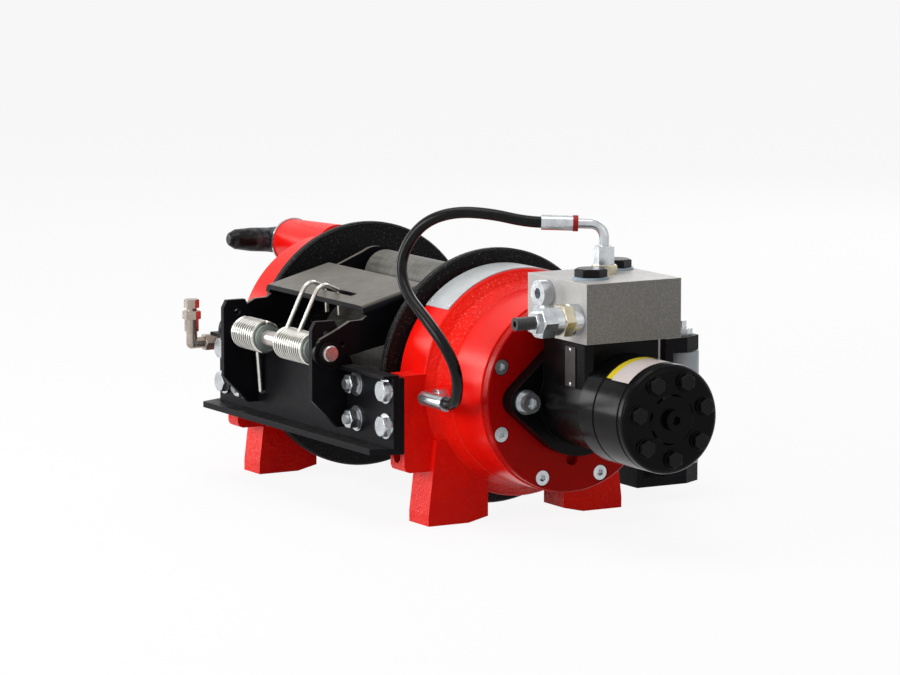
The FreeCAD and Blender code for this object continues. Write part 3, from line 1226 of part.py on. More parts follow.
# ---------------------------------------------------------------- hose and its fittings
def hose_fittings():
    x, y = MOTOR_FACE + S.adapter_inset, S.adapter_y
    low = VALVE_HIGH
    adapter = fuse("hose_adapter", [
        rod("adapter_base", S.adapter_flats + 1, S.adapter_height * 0.35, (x, y, low)),
        hexagon("adapter_hex", S.adapter_flats, S.adapter_height * 0.65,
                (x, y, low + S.adapter_height * 0.35))])
    node(adapter, "hose_adapter")
    nut_low = low + S.adapter_height
    nut = hexagon("elbow_nut", S.elbow_nut_flats, S.elbow_nut_height, (x, y, nut_low))
    node(nut, "elbow_nut")
    base = Vector(value_of(x), value_of(y), value_of(nut_low + S.elbow_nut_height))
    top = Vector(value_of(x), value_of(y), value_of(VALVE_HIGH + S.elbow_rise))
    out = top + HOSE_OUT * value_of(S.elbow_reach)
    solid, length, radii = wire_along([base, top, out], value_of(S.elbow_tube_dia),
                                      value_of(S.elbow_bend))
    node(drawn("hose_elbow", solid), "hose_elbow")
    node(sleeve("hose_mark_ring", S.ferrule_dia + 1, S.mark_width, out, HOSE_OUT), "hose_mark_ring")
    start = out + HOSE_OUT * value_of(S.mark_width)
    node(sleeve("hose_ferrule", S.ferrule_dia, S.ferrule_length, start, HOSE_OUT), "hose_ferrule")
    return start + HOSE_OUT * value_of(S.ferrule_length)


def sleeve(name, dia, length, start, direction):
    """Round piece along any direction."""
    obj = doc.addObject("Part::Cylinder", name)
    bind(obj, "Radius", dia / 2)
    bind(obj, "Height", length)
    obj.Placement = Placement(start, Rotation(Vector(0, 0, 1), direction))
    return obj


HOSE_OUT = Vector(-0.50, -0.86, 0.03).normalize()


def brake_hose(start):
    """Hose from the valve's elbow, over the gear housing and down to the brake fitting."""
    end = Vector(value_of(RING_START + S.brake_inset + S.brake_mouth), -value_of(S.brake_y),
                 value_of(AXIS - S.brake_drop))
    route = [start, start + HOSE_OUT * value_of(S.hose_lead)]
    for i in range(2, 12):
        across, ahead, height = (getattr(S, f"hose_{i}_{letter}") for letter in "xyz")
        route.append(Vector(value_of(across), -value_of(ahead), value_of(height)))
    route += [end + Vector(value_of(S.hose_tail), 0, 0), end]
    solid, length, radii = wire_along(route, value_of(S.hose_dia))
    print("hose length", round(length, 1), "radii", [round(r, 1) for r in radii])
    for point in route:
        print("hose point", [round(v, 2) for v in point])
    node(drawn("brake_hose", solid), "brake_hose")


def brake_port_fitting():
    """Elbow on the gear housing: stem, hexagon, body along X and a mouth for the hose."""
    x, y, z = RING_START + S.brake_inset, -S.brake_y, AXIS - S.brake_drop
    seat = S.brake_seat
    heel = x - S.brake_heel
    stem = rod("brake_stem", S.brake_body_dia * 0.8, seat, (x, y, z), "y")
    hexa = hexagon("brake_hex", S.brake_hex_flats, seat * 0.5, (x, y + seat, z), "-y")
    body = rod("brake_body", S.brake_body_dia, S.brake_heel + S.brake_mouth, (heel, y, z), "x")
    nose = rod("brake_nose", S.brake_body_dia * 0.5, S.brake_nose, (heel, y, z), "-x")
    node(fuse("brake_port_fitting", [stem, hexa, body, nose]), "brake_port_fitting")


# ---------------------------------------------------------------- left air fitting
def air_fitting():
    x, z = AIR_X, AXIS + S.air_rise
    tube = S.air_tube_dia
    y = -S.air_elbow_y
    pieces = [rod("air_stem", tube, S.air_elbow_y - AIR_SEAT, (x, y, z), "y"),
              hexagon("air_nut", tube * 1.35, tube * 1.45, (x, y + tube * 2.6, z), "-y"),
              sphere("air_corner", tube, (x, y, z)),
              rod("air_riser", tube, S.air_length - tube, (x, y, z)),
              rod("air_socket", tube * 1.3, tube * 1.8, (x, y, z + tube * 1.1)),
              hexagon("air_hex", tube * 1.45, tube * 0.75, (x, y, z + tube * 2.2)),
              rod("air_neck", tube * 0.95, tube * 0.3, (x, y, z + tube * 2.95)),
              hexagon("air_cap", tube * 1.2, S.air_length - tube * 3.2, (x, y, z + tube * 3.2))]
    node(fuse("air_fitting", pieces), "air_fitting")


def sphere(name, dia, at):
    obj = doc.addObject("Part::Sphere", name)
    bind(obj, "Radius", dia / 2)
    return place(obj, at)


# ---------------------------------------------------------------- name plate
def name_plate():
    """Bare plate bent round the top of the gear housing's ring."""
    inner = S.gear_ring_dia / 2 + 0.05
    outer = inner + S.plate_thick
    start = RING_START + S.edge_break + 0.5
    width = S.ring_width - 2 * S.edge_break - 1
    obj = doc.addObject("Part::Cylinder", "name_plate_sector")
    bind(obj, "Radius", outer)
    bind(obj, "Height", width)
    obj.Angle = PLATE_TO - PLATE_FROM
    first = Rotation(Vector(1, 0, 0), PLATE_FROM + 90)
    place(obj, (start, 0, AXIS), first * ALONG["x"])
    hole = rod("name_plate_inner", 2 * inner, width, (start, 0, AXIS), "x")
    node(cut("name_plate", obj, [hole]), "name_plate")


# ---------------------------------------------------------------- rear fairlead
POST_X = MEMBER_END - S.post_inset
LEAD_REACH = S.lead_plate_y + S.lead_depth
POST_Y = LEAD_REACH - S.post_setback
BEARER_END = POST_X - S.post_roller_dia / 2 - S.bearer_gap
SHELF_TOP = S.rear_low + 2 * S.shelf_thick
LINING_LOW = S.lead_high - S.lead_top_thick - S.lining_thick
CROSS_LOW = SHELF_TOP + S.cross_gap + S.cross_roller_dia / 2
CROSS_HIGH = LINING_LOW - S.cross_gap - S.cross_roller_dia / 2


def shelf(name, inner_y, start, thick):
    """Flange along the whole winch, with its outer corners cut."""
    end, cut_end = MEMBER_END, MEMBER_END - S.lead_cut
    cut_y = LEAD_REACH - S.lead_cut_length
    corners = [(-end, inner_y), (end, inner_y), (end, cut_y), (cut_end, LEAD_REACH),
               (-cut_end, LEAD_REACH), (-end, cut_y)]
    return plate(name, "XY_Plane", corners, start, thick)


def rope_window(name, inner_y, outer_y):
    return block(name, (-S.window_half, inner_y, S.window_low), (S.window_half, outer_y, S.window_high))


def post_holes(name):
    height = S.lead_high - S.rear_low
    return [rod(f"{name}_{side_name}_hole", S.lead_pin_dia + 0.1, height,
                (side * POST_X, POST_Y, S.rear_low)) for side_name, side in SIDES]


def rear_cross_member():
    """Angle across the back of both housings, with a window for the rope."""
    end = MEMBER_END
    web = block("rear_web", (-end, S.lug_face, S.rear_low), (end, WEB_FACE, S.rear_high))
    pieces = [web, shelf("rear_shelf", S.lug_face, S.rear_low, S.shelf_thick)]
    tools = [rope_window("rear_window", S.lug_face, WEB_FACE)]
    for side_name, side in SIDES:
        tools += member_holes(f"rear_web_{side_name}", side, 1, S.web_thick)
    node(cut("rear_cross_member", fuse("rear_member_solid", pieces), tools), "rear_cross_member")


def fairlead_frame():
    """Frame of the rope rollers: back plate, two flanges and four bearers."""
    end = MEMBER_END
    plate_end = S.lead_plate_y + S.lead_plate_thick
    low = S.rear_low + S.shelf_thick
    top = S.lead_high - S.lead_top_thick
    pieces = [block("lead_plate", (-end, S.lead_plate_y, low), (end, plate_end, S.lead_high)),
              shelf("lead_bottom", S.lead_plate_y, low, S.shelf_thick),
              shelf("lead_top", S.lead_plate_y, top, S.lead_top_thick)]
    tools = [rope_window("lead_window", S.lead_plate_y, plate_end)] + post_holes("lead")
    for side_name, side in SIDES:
        start = BEARER_END - S.bearer_thick if side > 0 else -BEARER_END
        for level, base, height in (("low", SHELF_TOP, CROSS_LOW + S.bearer_rise - SHELF_TOP),
                                    ("high", CROSS_HIGH - S.bearer_rise,
                                     LINING_LOW - CROSS_HIGH + S.bearer_rise)):
            pieces.append(block(f"bearer_{level}_{side_name}", (start, plate_end, base),
                                (start + S.bearer_thick, LEAD_REACH, base + height)))
    for level, height in (("low", CROSS_LOW), ("high", CROSS_HIGH)):
        tools.append(rod(f"cross_hole_{level}", S.cross_pin_dia + 0.1, 2 * BEARER_END,
                         (-BEARER_END, POST_Y, height), "x"))
    node(cut("fairlead_frame", fuse("fairlead_frame_solid", pieces), tools), "fairlead_frame")
    lining = shelf("lining_sheet", plate_end, LINING_LOW, S.lining_thick)
    node(cut("fairlead_lining", lining, post_holes("lining")), "fairlead_lining")


def fairlead_pins():
    pins = []
    low = S.rear_low + S.shelf_thick
    for side_name, side in SIDES:
        key = f"fairlead_pin_{side_name}"
        x, y = side * POST_X, POST_Y
        shank = rod(key + "_shank", S.lead_pin_dia, S.lead_high - low, (x, y, low))
        nut = hexagon(key + "_nut", S.lead_nut_flats, S.lead_nut_height, (x, y, S.lead_high))
        stub = rod(key + "_stub", S.lead_pin_dia * 0.7, S.lead_stub, (x, y, S.lead_high))
        pins.append(fuse(key, [shank, nut, stub]))
    for level, height in (("low", CROSS_LOW), ("high", CROSS_HIGH)):
        pins.append(rod(f"cross_pin_{level}", S.cross_pin_dia, 2 * BEARER_END,
                        (-BEARER_END, POST_Y, height), "x"))
    node(group("fairlead_pins", pins), "fairlead_pins")


def fairlead_rollers():
    gap = S.roller_end_gap
    low, high = SHELF_TOP + gap, LINING_LOW - gap
    for side_name, side in (("left", -1), ("right", 1)):
        label = f"fairlead_roller_{side_name}"
        node(ring(label, S.post_roller_dia, S.lead_pin_dia + 2 * S.bearing_gap, high - low,
                  (side * POST_X, POST_Y, low)), label)
    half = BEARER_END - S.bearer_thick - gap
    for level, height in (("lower", CROSS_LOW), ("upper", CROSS_HIGH)):
        label = f"fairlead_roller_{level}"
        node(ring(label, S.cross_roller_dia, S.cross_pin_dia + 2 * S.bearing_gap, 2 * half,
                  (-half, POST_Y, height), "x"), label)


def build():
    drum()
    gear_housing()
    gear_cover()
    clutch_housing()
    clutch_handle()
    front_cross_member()
    member_bolts("front_bolts", -1, PLATE_FACE)
    bracket_studs()
    tensioner_bracket()
    pivot_rod()
    tension_flap()
    tension_roller()
    tension_springs()
    motor_body()
    motor_barrel()
    motor_flange_screws()
    motor_data_plate()
    valve_block()
    valve_cartridge()
    port_plugs()
    brake_hose(hose_fittings())
    brake_port_fitting()
    air_fitting()
    name_plate()
    rear_cross_member()
    member_bolts("rear_bolts", 1, WEB_FACE)
    fairlead_frame()
    fairlead_pins()
    fairlead_rollers()


build()
doc.recompute()

# ---------------------------------------------------------------- check and write
for obj in doc.Objects:
    if "Invalid" in obj.State or "Error" in obj.State:
        raise RuntimeError(f"{obj.Name} did not compute: {obj.State}")
for obj in nodes:
    if obj.Shape.isNull() or not obj.Shape.isValid():
        raise RuntimeError(f"{obj.Label} has no valid shape")

os.makedirs("parts", exist_ok=True)
for obj in nodes:
    obj.Shape.exportStep(f"parts/{obj.Label}.step")
print(len(nodes), "nodes written")
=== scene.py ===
"""Hydraulic planetary mooring and recovery winch: materials, springs, hose, labels and studio."""
import bpy
import json
import math
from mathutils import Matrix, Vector


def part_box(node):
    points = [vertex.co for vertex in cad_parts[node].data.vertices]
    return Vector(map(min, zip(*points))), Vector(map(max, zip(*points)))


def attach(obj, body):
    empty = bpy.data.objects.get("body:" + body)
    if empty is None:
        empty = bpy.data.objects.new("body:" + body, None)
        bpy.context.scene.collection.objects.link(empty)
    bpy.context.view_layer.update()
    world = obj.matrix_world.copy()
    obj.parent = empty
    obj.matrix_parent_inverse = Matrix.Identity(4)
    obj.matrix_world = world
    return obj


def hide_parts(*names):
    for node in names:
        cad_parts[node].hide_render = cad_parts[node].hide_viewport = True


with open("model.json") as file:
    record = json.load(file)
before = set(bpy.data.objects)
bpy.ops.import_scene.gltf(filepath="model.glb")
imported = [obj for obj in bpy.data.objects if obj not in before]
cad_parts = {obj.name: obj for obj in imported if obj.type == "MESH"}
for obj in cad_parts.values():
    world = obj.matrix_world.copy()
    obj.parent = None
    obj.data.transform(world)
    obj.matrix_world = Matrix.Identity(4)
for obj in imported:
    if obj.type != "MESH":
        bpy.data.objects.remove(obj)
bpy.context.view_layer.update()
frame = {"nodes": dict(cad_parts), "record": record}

MM = 0.001
nodes = frame["nodes"]


# ---------------------------------------------------------------- shader helpers
class Shader:
    """A material's node tree, with short calls for the nodes that every finish uses."""

    def __init__(self, name):
        self.material = bpy.data.materials.new(name)
        self.material.use_nodes = True
        self.tree = self.material.node_tree
        self.bsdf = self.tree.nodes["Principled BSDF"]
        self.place = self.add("ShaderNodeTexCoord").outputs["Object"]

    def add(self, kind, inputs=None, **settings):
        node = self.tree.nodes.new(kind)
        for key, value in settings.items():
            setattr(node, key, value)
        for key, value in (inputs or {}).items():
            self.feed(node.inputs[key], value)
        return node

    def feed(self, socket, value):
        if isinstance(value, bpy.types.NodeSocket):
            self.tree.links.new(value, socket)
        else:
            socket.default_value = value

    def noise(self, size, detail=3.0, rough=0.5, place=None):
        """Noise whose features are about size millimetres across."""
        node = self.add("ShaderNodeTexNoise", {"Scale": 1 / (size * MM), "Detail": detail,
                                               "Roughness": rough, "Vector": place or self.place})
        return node.outputs["Fac"]

    def stretched(self, x, y, z):
        """Coordinates scaled along each axis, for brushed and turned marks."""
        node = self.add("ShaderNodeVectorMath", {0: self.place, 1: (x, y, z)}, operation="MULTIPLY")
        return node.outputs["Vector"]

    def axes(self):
        """The place on the object, as its three coordinates."""
        parts = self.add("ShaderNodeSeparateXYZ", {"Vector": self.place}).outputs
        return parts["X"], parts["Y"], parts["Z"]

    def facing(self, axis):
        """How far the piece's own surface faces along an axis, from -1 to 1."""
        normal = self.add("ShaderNodeTexCoord").outputs["Normal"]
        return self.add("ShaderNodeSeparateXYZ", {"Vector": normal}).outputs[axis]

    def ramp(self, source, low, high, to_low=0.0, to_high=1.0):
        """to_low where source is low, to_high where it is high, straight and clamped between."""
        node = self.add("ShaderNodeMapRange", {"Value": source, "From Min": low, "From Max": high,
                                               "To Min": to_low, "To Max": to_high})
        return node.outputs["Result"]

    def blend(self, amount, first, second):
        """Colour between first (amount 0) and second (amount 1)."""
        node = self.add("ShaderNodeMix", data_type="RGBA")
        self.feed(node.inputs[0], amount)
        self.feed(node.inputs[6], first)
        self.feed(node.inputs[7], second)
        return node.outputs[2]

    def math(self, operation, first, second=0.0):
        node = self.add("ShaderNodeMath", operation=operation)
        self.feed(node.inputs[0], first)
        self.feed(node.inputs[1], second)
        return node.outputs[0]

    def edges(self, radius, keen=0.995):
        """1 along edges, 0 on flat ground, and the softened normal that goes with them."""
        soft = self.add("ShaderNodeBevel", {"Radius": radius * MM}, samples=4).outputs["Normal"]
        hard = self.add("ShaderNodeNewGeometry").outputs["Normal"]
        dot = self.add("ShaderNodeVectorMath", {0: soft, 1: hard}, operation="DOT_PRODUCT")
        return self.ramp(dot.outputs["Value"], keen, 0.78), soft

    def bump(self, height, depth, normal=None):
        """Bump whose full height is about depth millimetres."""
        inputs = {"Height": height, "Strength": 1.0, "Distance": depth * MM}
        if normal is not None:
            inputs["Normal"] = normal
        return self.add("ShaderNodeBump", inputs).outputs["Normal"]

    def surface(self, colour, roughness, metallic=0.0, normal=None, specular=0.5, tint=None):
        self.feed(self.bsdf.inputs["Base Color"], colour)
        self.feed(self.bsdf.inputs["Roughness"], roughness)
        self.feed(self.bsdf.inputs["Metallic"], metallic)
        self.feed(self.bsdf.inputs["Specular IOR Level"], specular)
        if tint:
            self.feed(self.bsdf.inputs["Specular Tint"], tint)
        if normal is not None:
            self.feed(self.bsdf.inputs["Normal"], normal)
        return self.material


def rgb(red, green, blue):
    return (red, green, blue, 1.0)


# ---------------------------------------------------------------- sizes and colours
WIRE = 4.5 * MM                                  # spring wire
ROD_LOW, ROD_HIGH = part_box("pivot_rod")
ROD_Y = (ROD_LOW[1] + ROD_HIGH[1]) / 2
ROD_Z = (ROD_LOW[2] + ROD_HIGH[2]) / 2
COIL_MEAN = 14.75 * MM                           # mean radius of the coils
# the wire between the turns is painted nearly black: painted shade
GROOVE_TOP, GROOVE_FLOOR = 16.3 * MM, 15.5 * MM  # radii where the wire goes dark between turns
COILS = ((-76 * MM, -26 * MM), (13 * MM, 75 * MM))   # ends of the coils along X
LEGS = (20.5 * MM, 46.5 * MM)                    # upper legs at the right coil
AXIS_HEIGHT = 132.2 * MM
RING_RADIUS = 112 * MM                           # machined ring of the gear housing
SHOULDER = (187.5 * MM, 213 * MM)                # rough band between the ring and the cone
HOSE_RADIUS = 5.5 * MM
CAP_BOLTS, CAP_BOLT_FIRST, CAP_BOLT_REACH = 7, 15.3, 37.6 * MM   # motor's end cap, degrees from +Y
RED = rgb(0.88, 0.008, 0.003)
RED_DEEP = rgb(0.78, 0.003, 0.003)
RED_GLOSS = rgb(1.0, 0.45, 0.30)
BLACK = rgb(0.0040, 0.0040, 0.0052)
WORN_GREY = rgb(0.30, 0.29, 0.28)
# lighter colours for the upward faces of the sheet and of the plates: painted sheen of reflected light
SHEET_TOP_PAINTED_SHEEN = rgb(0.190, 0.176, 0.156)
PLATE_TOP_PAINTED_SHEEN = rgb(0.016, 0.0155, 0.0165)


# ---------------------------------------------------------------- materials
def dimmed(colour, factor):
    """A darker shade of a colour, or a lighter one with a factor over 1."""
    return tuple(min(1.0, part * factor) for part in colour[:3]) + (1.0,)


def paint(name, colour, deep, grain=2.0, depth=0.02, roughness=0.3, edge=0.8, specular=0.25, tint=None):
    """Sprayed paint: slight colour drift, fine texture, softened edges."""
    s = Shader(name)
    soft = s.edges(edge)[1]
    tone = s.blend(s.ramp(s.noise(38, 3), 0.35, 0.7), colour, deep)
    shine = s.ramp(s.noise(14, 4), 0.3, 0.7, roughness * 0.8, roughness * 1.25)
    return s.surface(tone, shine, 0.0, s.bump(s.noise(grain, 3), depth, soft), specular, tint)


def red_casting(name, colour, deep):
    """Painted casting: machined ring and cone, sandy skin on the shoulder, the lugs and the feet."""
    s = Shader(name)
    soft = s.edges(1.0)[1]
    x, y, z = s.axes()
    height = s.math("SUBTRACT", z, AXIS_HEIGHT)
    radius = s.math("SQRT", s.math("ADD", s.math("MULTIPLY", y, y), s.math("MULTIPLY", height, height)))
    outside = s.ramp(radius, RING_RADIUS + 0.0004, RING_RADIUS + 0.0014)
    band = s.math("MULTIPLY", s.ramp(x, SHOULDER[0] - 0.0005, SHOULDER[0] + 0.001),
                  s.ramp(x, SHOULDER[1] + 0.002, SHOULDER[1] - 0.001))
    rough = s.math("MAXIMUM", outside, band)
    sand = s.math("ADD", s.noise(2.6, 3, 0.6), s.math("MULTIPLY", s.noise(8, 2), 0.8))
    skin = s.math("ADD", s.math("MULTIPLY", sand, rough), s.math("MULTIPLY", s.noise(3, 2), 0.02))
    tone = s.blend(s.ramp(s.noise(38, 3), 0.35, 0.7), colour, deep)
    glints = s.math("MULTIPLY", s.ramp(s.noise(2.2, 3, 0.6), 0.57, 0.68), s.ramp(s.facing("Z"), 0.15, 0.6))
    glints = s.math("MULTIPLY", glints, s.math("MULTIPLY", rough, 0.4))
    tone = s.blend(glints, tone, rgb(1.0, 0.28, 0.22))
    shine = s.ramp(rough, 0, 1, 0.28, 0.33)
    return s.surface(tone, shine, 0.0, s.bump(skin, 0.9, soft), 0.20, RED_GLOSS)


def powder_coat(name, colour, roughness=0.42, grain=0.9, depth=0.012, top=None, specular=0.06):
    """Fine orange peel of a powder coat, rubbed a little lighter at its edges, with a painted sheen of
    reflected light on its upward faces.
    """
    s = Shader(name)
    mask, soft = s.edges(0.7)
    tone = s.blend(s.ramp(s.noise(26, 3), 0.3, 0.7), colour, dimmed(colour, 1.5))
    if top:
        # upward faces blend to the top colour: painted sheen of reflected light
        upward_sheen = s.ramp(s.facing("Z"), 0.6, 0.98)
        tone = s.blend(upward_sheen, tone, s.blend(s.ramp(s.noise(30, 4), 0.3, 0.7), top, dimmed(top, 0.78)))
    rubbed = s.math("MULTIPLY", mask, s.ramp(s.noise(3, 5, 0.7), 0.35, 0.7, 0.05, 0.45))
    tone = s.blend(rubbed, tone, rgb(0.10, 0.095, 0.095))
    tone = s.blend(s.ramp(s.noise(1.6, 6, 0.8), 0.70, 0.8, 0.0, 0.07), tone, rgb(0.35, 0.34, 0.33))
    shine = s.ramp(s.noise(9, 4), 0.3, 0.7, roughness * 0.85, roughness * 1.2)
    return s.surface(tone, shine, 0.0, s.bump(s.noise(grain, 3), depth, soft), specular)


def rough_casting(name, colour, rim, lump=3.4, depth=0.9):
    """Coarse black casting, its rim worn to grey metal."""
    s = Shader(name)
    mask, soft = s.edges(0.9)
    height = s.math("ADD", s.noise(lump, 3, 0.6), s.math("MULTIPLY", s.noise(lump * 0.35, 3), 0.4))
    worn = s.math("MULTIPLY", mask, s.ramp(s.noise(1.4, 5, 0.8), 0.38, 0.62))
    glints = s.ramp(s.noise(lump * 0.7, 3, 0.6), 0.60, 0.72)
    tone = s.blend(worn, s.blend(glints, colour, rgb(0.095, 0.095, 0.100)), rim)
    return s.surface(tone, 0.42, 0.0, s.bump(height, depth, soft), 0.10)


def hammered(name, colour, glint):
    """Forged black grip with shallow hammer facets, and painted glints as bright patches, more of them near
    the hub.
    """
    s = Shader(name)
    soft = s.edges(0.8)[1]
    dents = s.add("ShaderNodeTexVoronoi", {"Vector": s.place, "Scale": 90.0}, feature="SMOOTH_F1")
    facets = s.math("ADD", dents.outputs["Distance"], s.math("MULTIPLY", s.noise(12, 2), 0.6))
    y = s.axes()[1]
    # lighter patches, more of them beside the hub: painted glints
    hub_glint = s.math("MULTIPLY", s.ramp(y, -34 * MM, -22 * MM), s.ramp(y, -2 * MM, -12 * MM))
    glint_patches = s.math("ADD", s.math("MULTIPLY", s.ramp(s.noise(14, 3), 0.50, 0.66), 0.5),
                     s.math("MULTIPLY", hub_glint, s.ramp(s.noise(7, 3), 0.40, 0.56)))
    tone = s.blend(glint_patches, colour, glint)
    return s.surface(tone, 0.34, 0.0, s.bump(facets, 2.2, soft), 0.16)


def metal(name, colour, roughness, grain=7.0, depth=0.008, lines=None, tarnish=None, metallic=0.75,
          crevice_shade=None):
    """Plated or machined metal; lines gives the stretch of its tool marks along X, Y and Z."""
    s = Shader(name)
    mask = s.edges(0.4, 0.95)[0]
    place = s.stretched(*lines) if lines else None
    marks = s.noise(grain, 2, 0.5, place)
    tone = s.blend(s.ramp(s.noise(11, 3), 0.3, 0.75), colour, tarnish or dimmed(colour, 0.82))
    tone = s.blend(s.math("MULTIPLY", mask, 0.4), tone, dimmed(colour, 1.3))
    # the mask darkens the metal nearly to black: painted shade
    if crevice_shade:
        tone = s.blend(crevice_shade(s), tone, dimmed(colour, 0.05))
    shine = s.ramp(marks, 0.3, 0.7, roughness * 0.85, roughness * 1.2)
    return s.surface(tone, shine, metallic, s.bump(marks, depth), 0.4)


def shade_between_turns(s):
    """Painted shade: 1 in the grooves between the springs' turns, 0 on their crests, their ends and the
    legs.
    """
    x, y, z = s.axes()
    ahead = s.math("SUBTRACT", y, ROD_Y)
    above = s.math("SUBTRACT", z, ROD_Z)
    reach = s.math("SQRT", s.math("ADD", s.math("MULTIPLY", ahead, ahead), s.math("MULTIPLY", above, above)))
    groove_shade = s.ramp(reach, GROOVE_TOP, GROOVE_FLOOR)
    inside = 0.0
    for start, end in COILS:
        span = s.math("MULTIPLY", s.ramp(x, start + WIRE, start + 1.1 * WIRE),
                      s.ramp(x, end - WIRE, end - 1.1 * WIRE))
        inside = s.math("ADD", span, inside)
    return s.math("MULTIPLY", groove_shade, inside)


def threaded(name, colour, roughness, axis, pitch=1.5, depth=0.35, metallic=0.75):
    """Metal with the ridges of a screw thread along an axis, darker between the ridges as painted shade."""
    s = Shader(name)
    wave = s.add("ShaderNodeTexWave", {"Vector": s.place, "Scale": 0.314 / (pitch * MM)},
                 bands_direction=axis).outputs["Fac"]
    # darker between the ridges: painted shade
    tone = s.blend(wave, dimmed(colour, 0.3), colour)
    return s.surface(tone, roughness, metallic, s.bump(wave, depth), 0.4)


def wound_steel(name, dark, light):
    """Drum barrel and tension roller: dull scale, rubbed along and round by the rope."""
    s = Shader(name)
    soft = s.edges(0.8)[1]
    streaks = s.noise(5, 4, 0.6, s.stretched(0.12, 1.0, 1.0))
    rings = s.noise(7, 3, 0.6, s.stretched(2.5, 0.3, 0.3))
    mixed = s.math("ADD", s.math("MULTIPLY", streaks, 0.65), s.math("MULTIPLY", rings, 0.4))
    rubbed = s.ramp(mixed, 0.40, 0.66)
    tone = s.blend(rubbed, dark, light)
    return s.surface(tone, s.ramp(streaks, 0.3, 0.7, 0.40, 0.55), 0.25, s.bump(streaks, 0.05, soft), 0.3)


def hose_rubber():
    """Smooth rubber cover with the fine weave of its wrapping."""
    s = Shader("hose_rubber")
    tone = s.blend(s.ramp(s.noise(5, 5, 0.7), 0.5, 0.85), rgb(0.003, 0.003, 0.0035),
                   rgb(0.014, 0.014, 0.015))
    shine = s.ramp(s.noise(4, 4), 0.3, 0.7, 0.18, 0.28)
    return s.surface(tone, shine, 0.0, s.bump(s.noise(0.6, 2), 0.02), 0.14)


def valve_aluminium():
    """Milled block: fine passes, blotchy grey, specks of bare metal, its outer end a darker speckled grey as
    painted shade, near-white edges as painted highlight.
    """
    s = Shader("valve_aluminium")
    mask, soft = s.edges(0.9)
    passes = s.noise(1.2, 3, 0.6, s.stretched(0.15, 1.0, 2.2))
    tone = s.blend(s.ramp(s.noise(18, 4, 0.6), 0.3, 0.75), rgb(0.48, 0.47, 0.46), rgb(0.39, 0.38, 0.365))
    tone = s.blend(s.ramp(s.noise(1.0, 3), 0.62, 0.72, 0.0, 0.25), tone, rgb(0.60, 0.58, 0.54))
    # faces towards +X take a darker grey: painted shade, with a speckle
    painted_shade_end = s.ramp(s.facing("X"), 0.9, 0.99)
    tone = s.blend(painted_shade_end, tone, s.blend(s.ramp(s.noise(1.6, 3), 0.4, 0.7), rgb(0.215, 0.205, 0.190),
                                         rgb(0.30, 0.285, 0.265)))
    # edges turn near white: painted highlight
    tone = s.blend(s.math("MULTIPLY", mask, 0.85), tone, rgb(0.90, 0.90, 0.88))
    shine = s.ramp(passes, 0.25, 0.75, 0.32, 0.46)
    return s.surface(tone, shine, 0.10, s.bump(passes, 0.004, soft), 0.20)


def bare_plate(name, colour, line, metallic=0.25):
    """Blank metal plate with a faint rubbed sheen."""
    s = Shader(name)
    mask, soft = s.edges(0.3)
    scuff = s.noise(0.8, 3, 0.6, s.stretched(0.3, 1.0, 1.0))
    tone = s.blend(s.ramp(s.noise(12, 4), 0.35, 0.7), colour, line)
    tone = s.blend(s.math("MULTIPLY", mask, 0.6), tone, dimmed(colour, 1.35))
    return s.surface(tone, s.ramp(scuff, 0.3, 0.7, 0.28, 0.42), metallic, s.bump(scuff, 0.003, soft), 0.35)


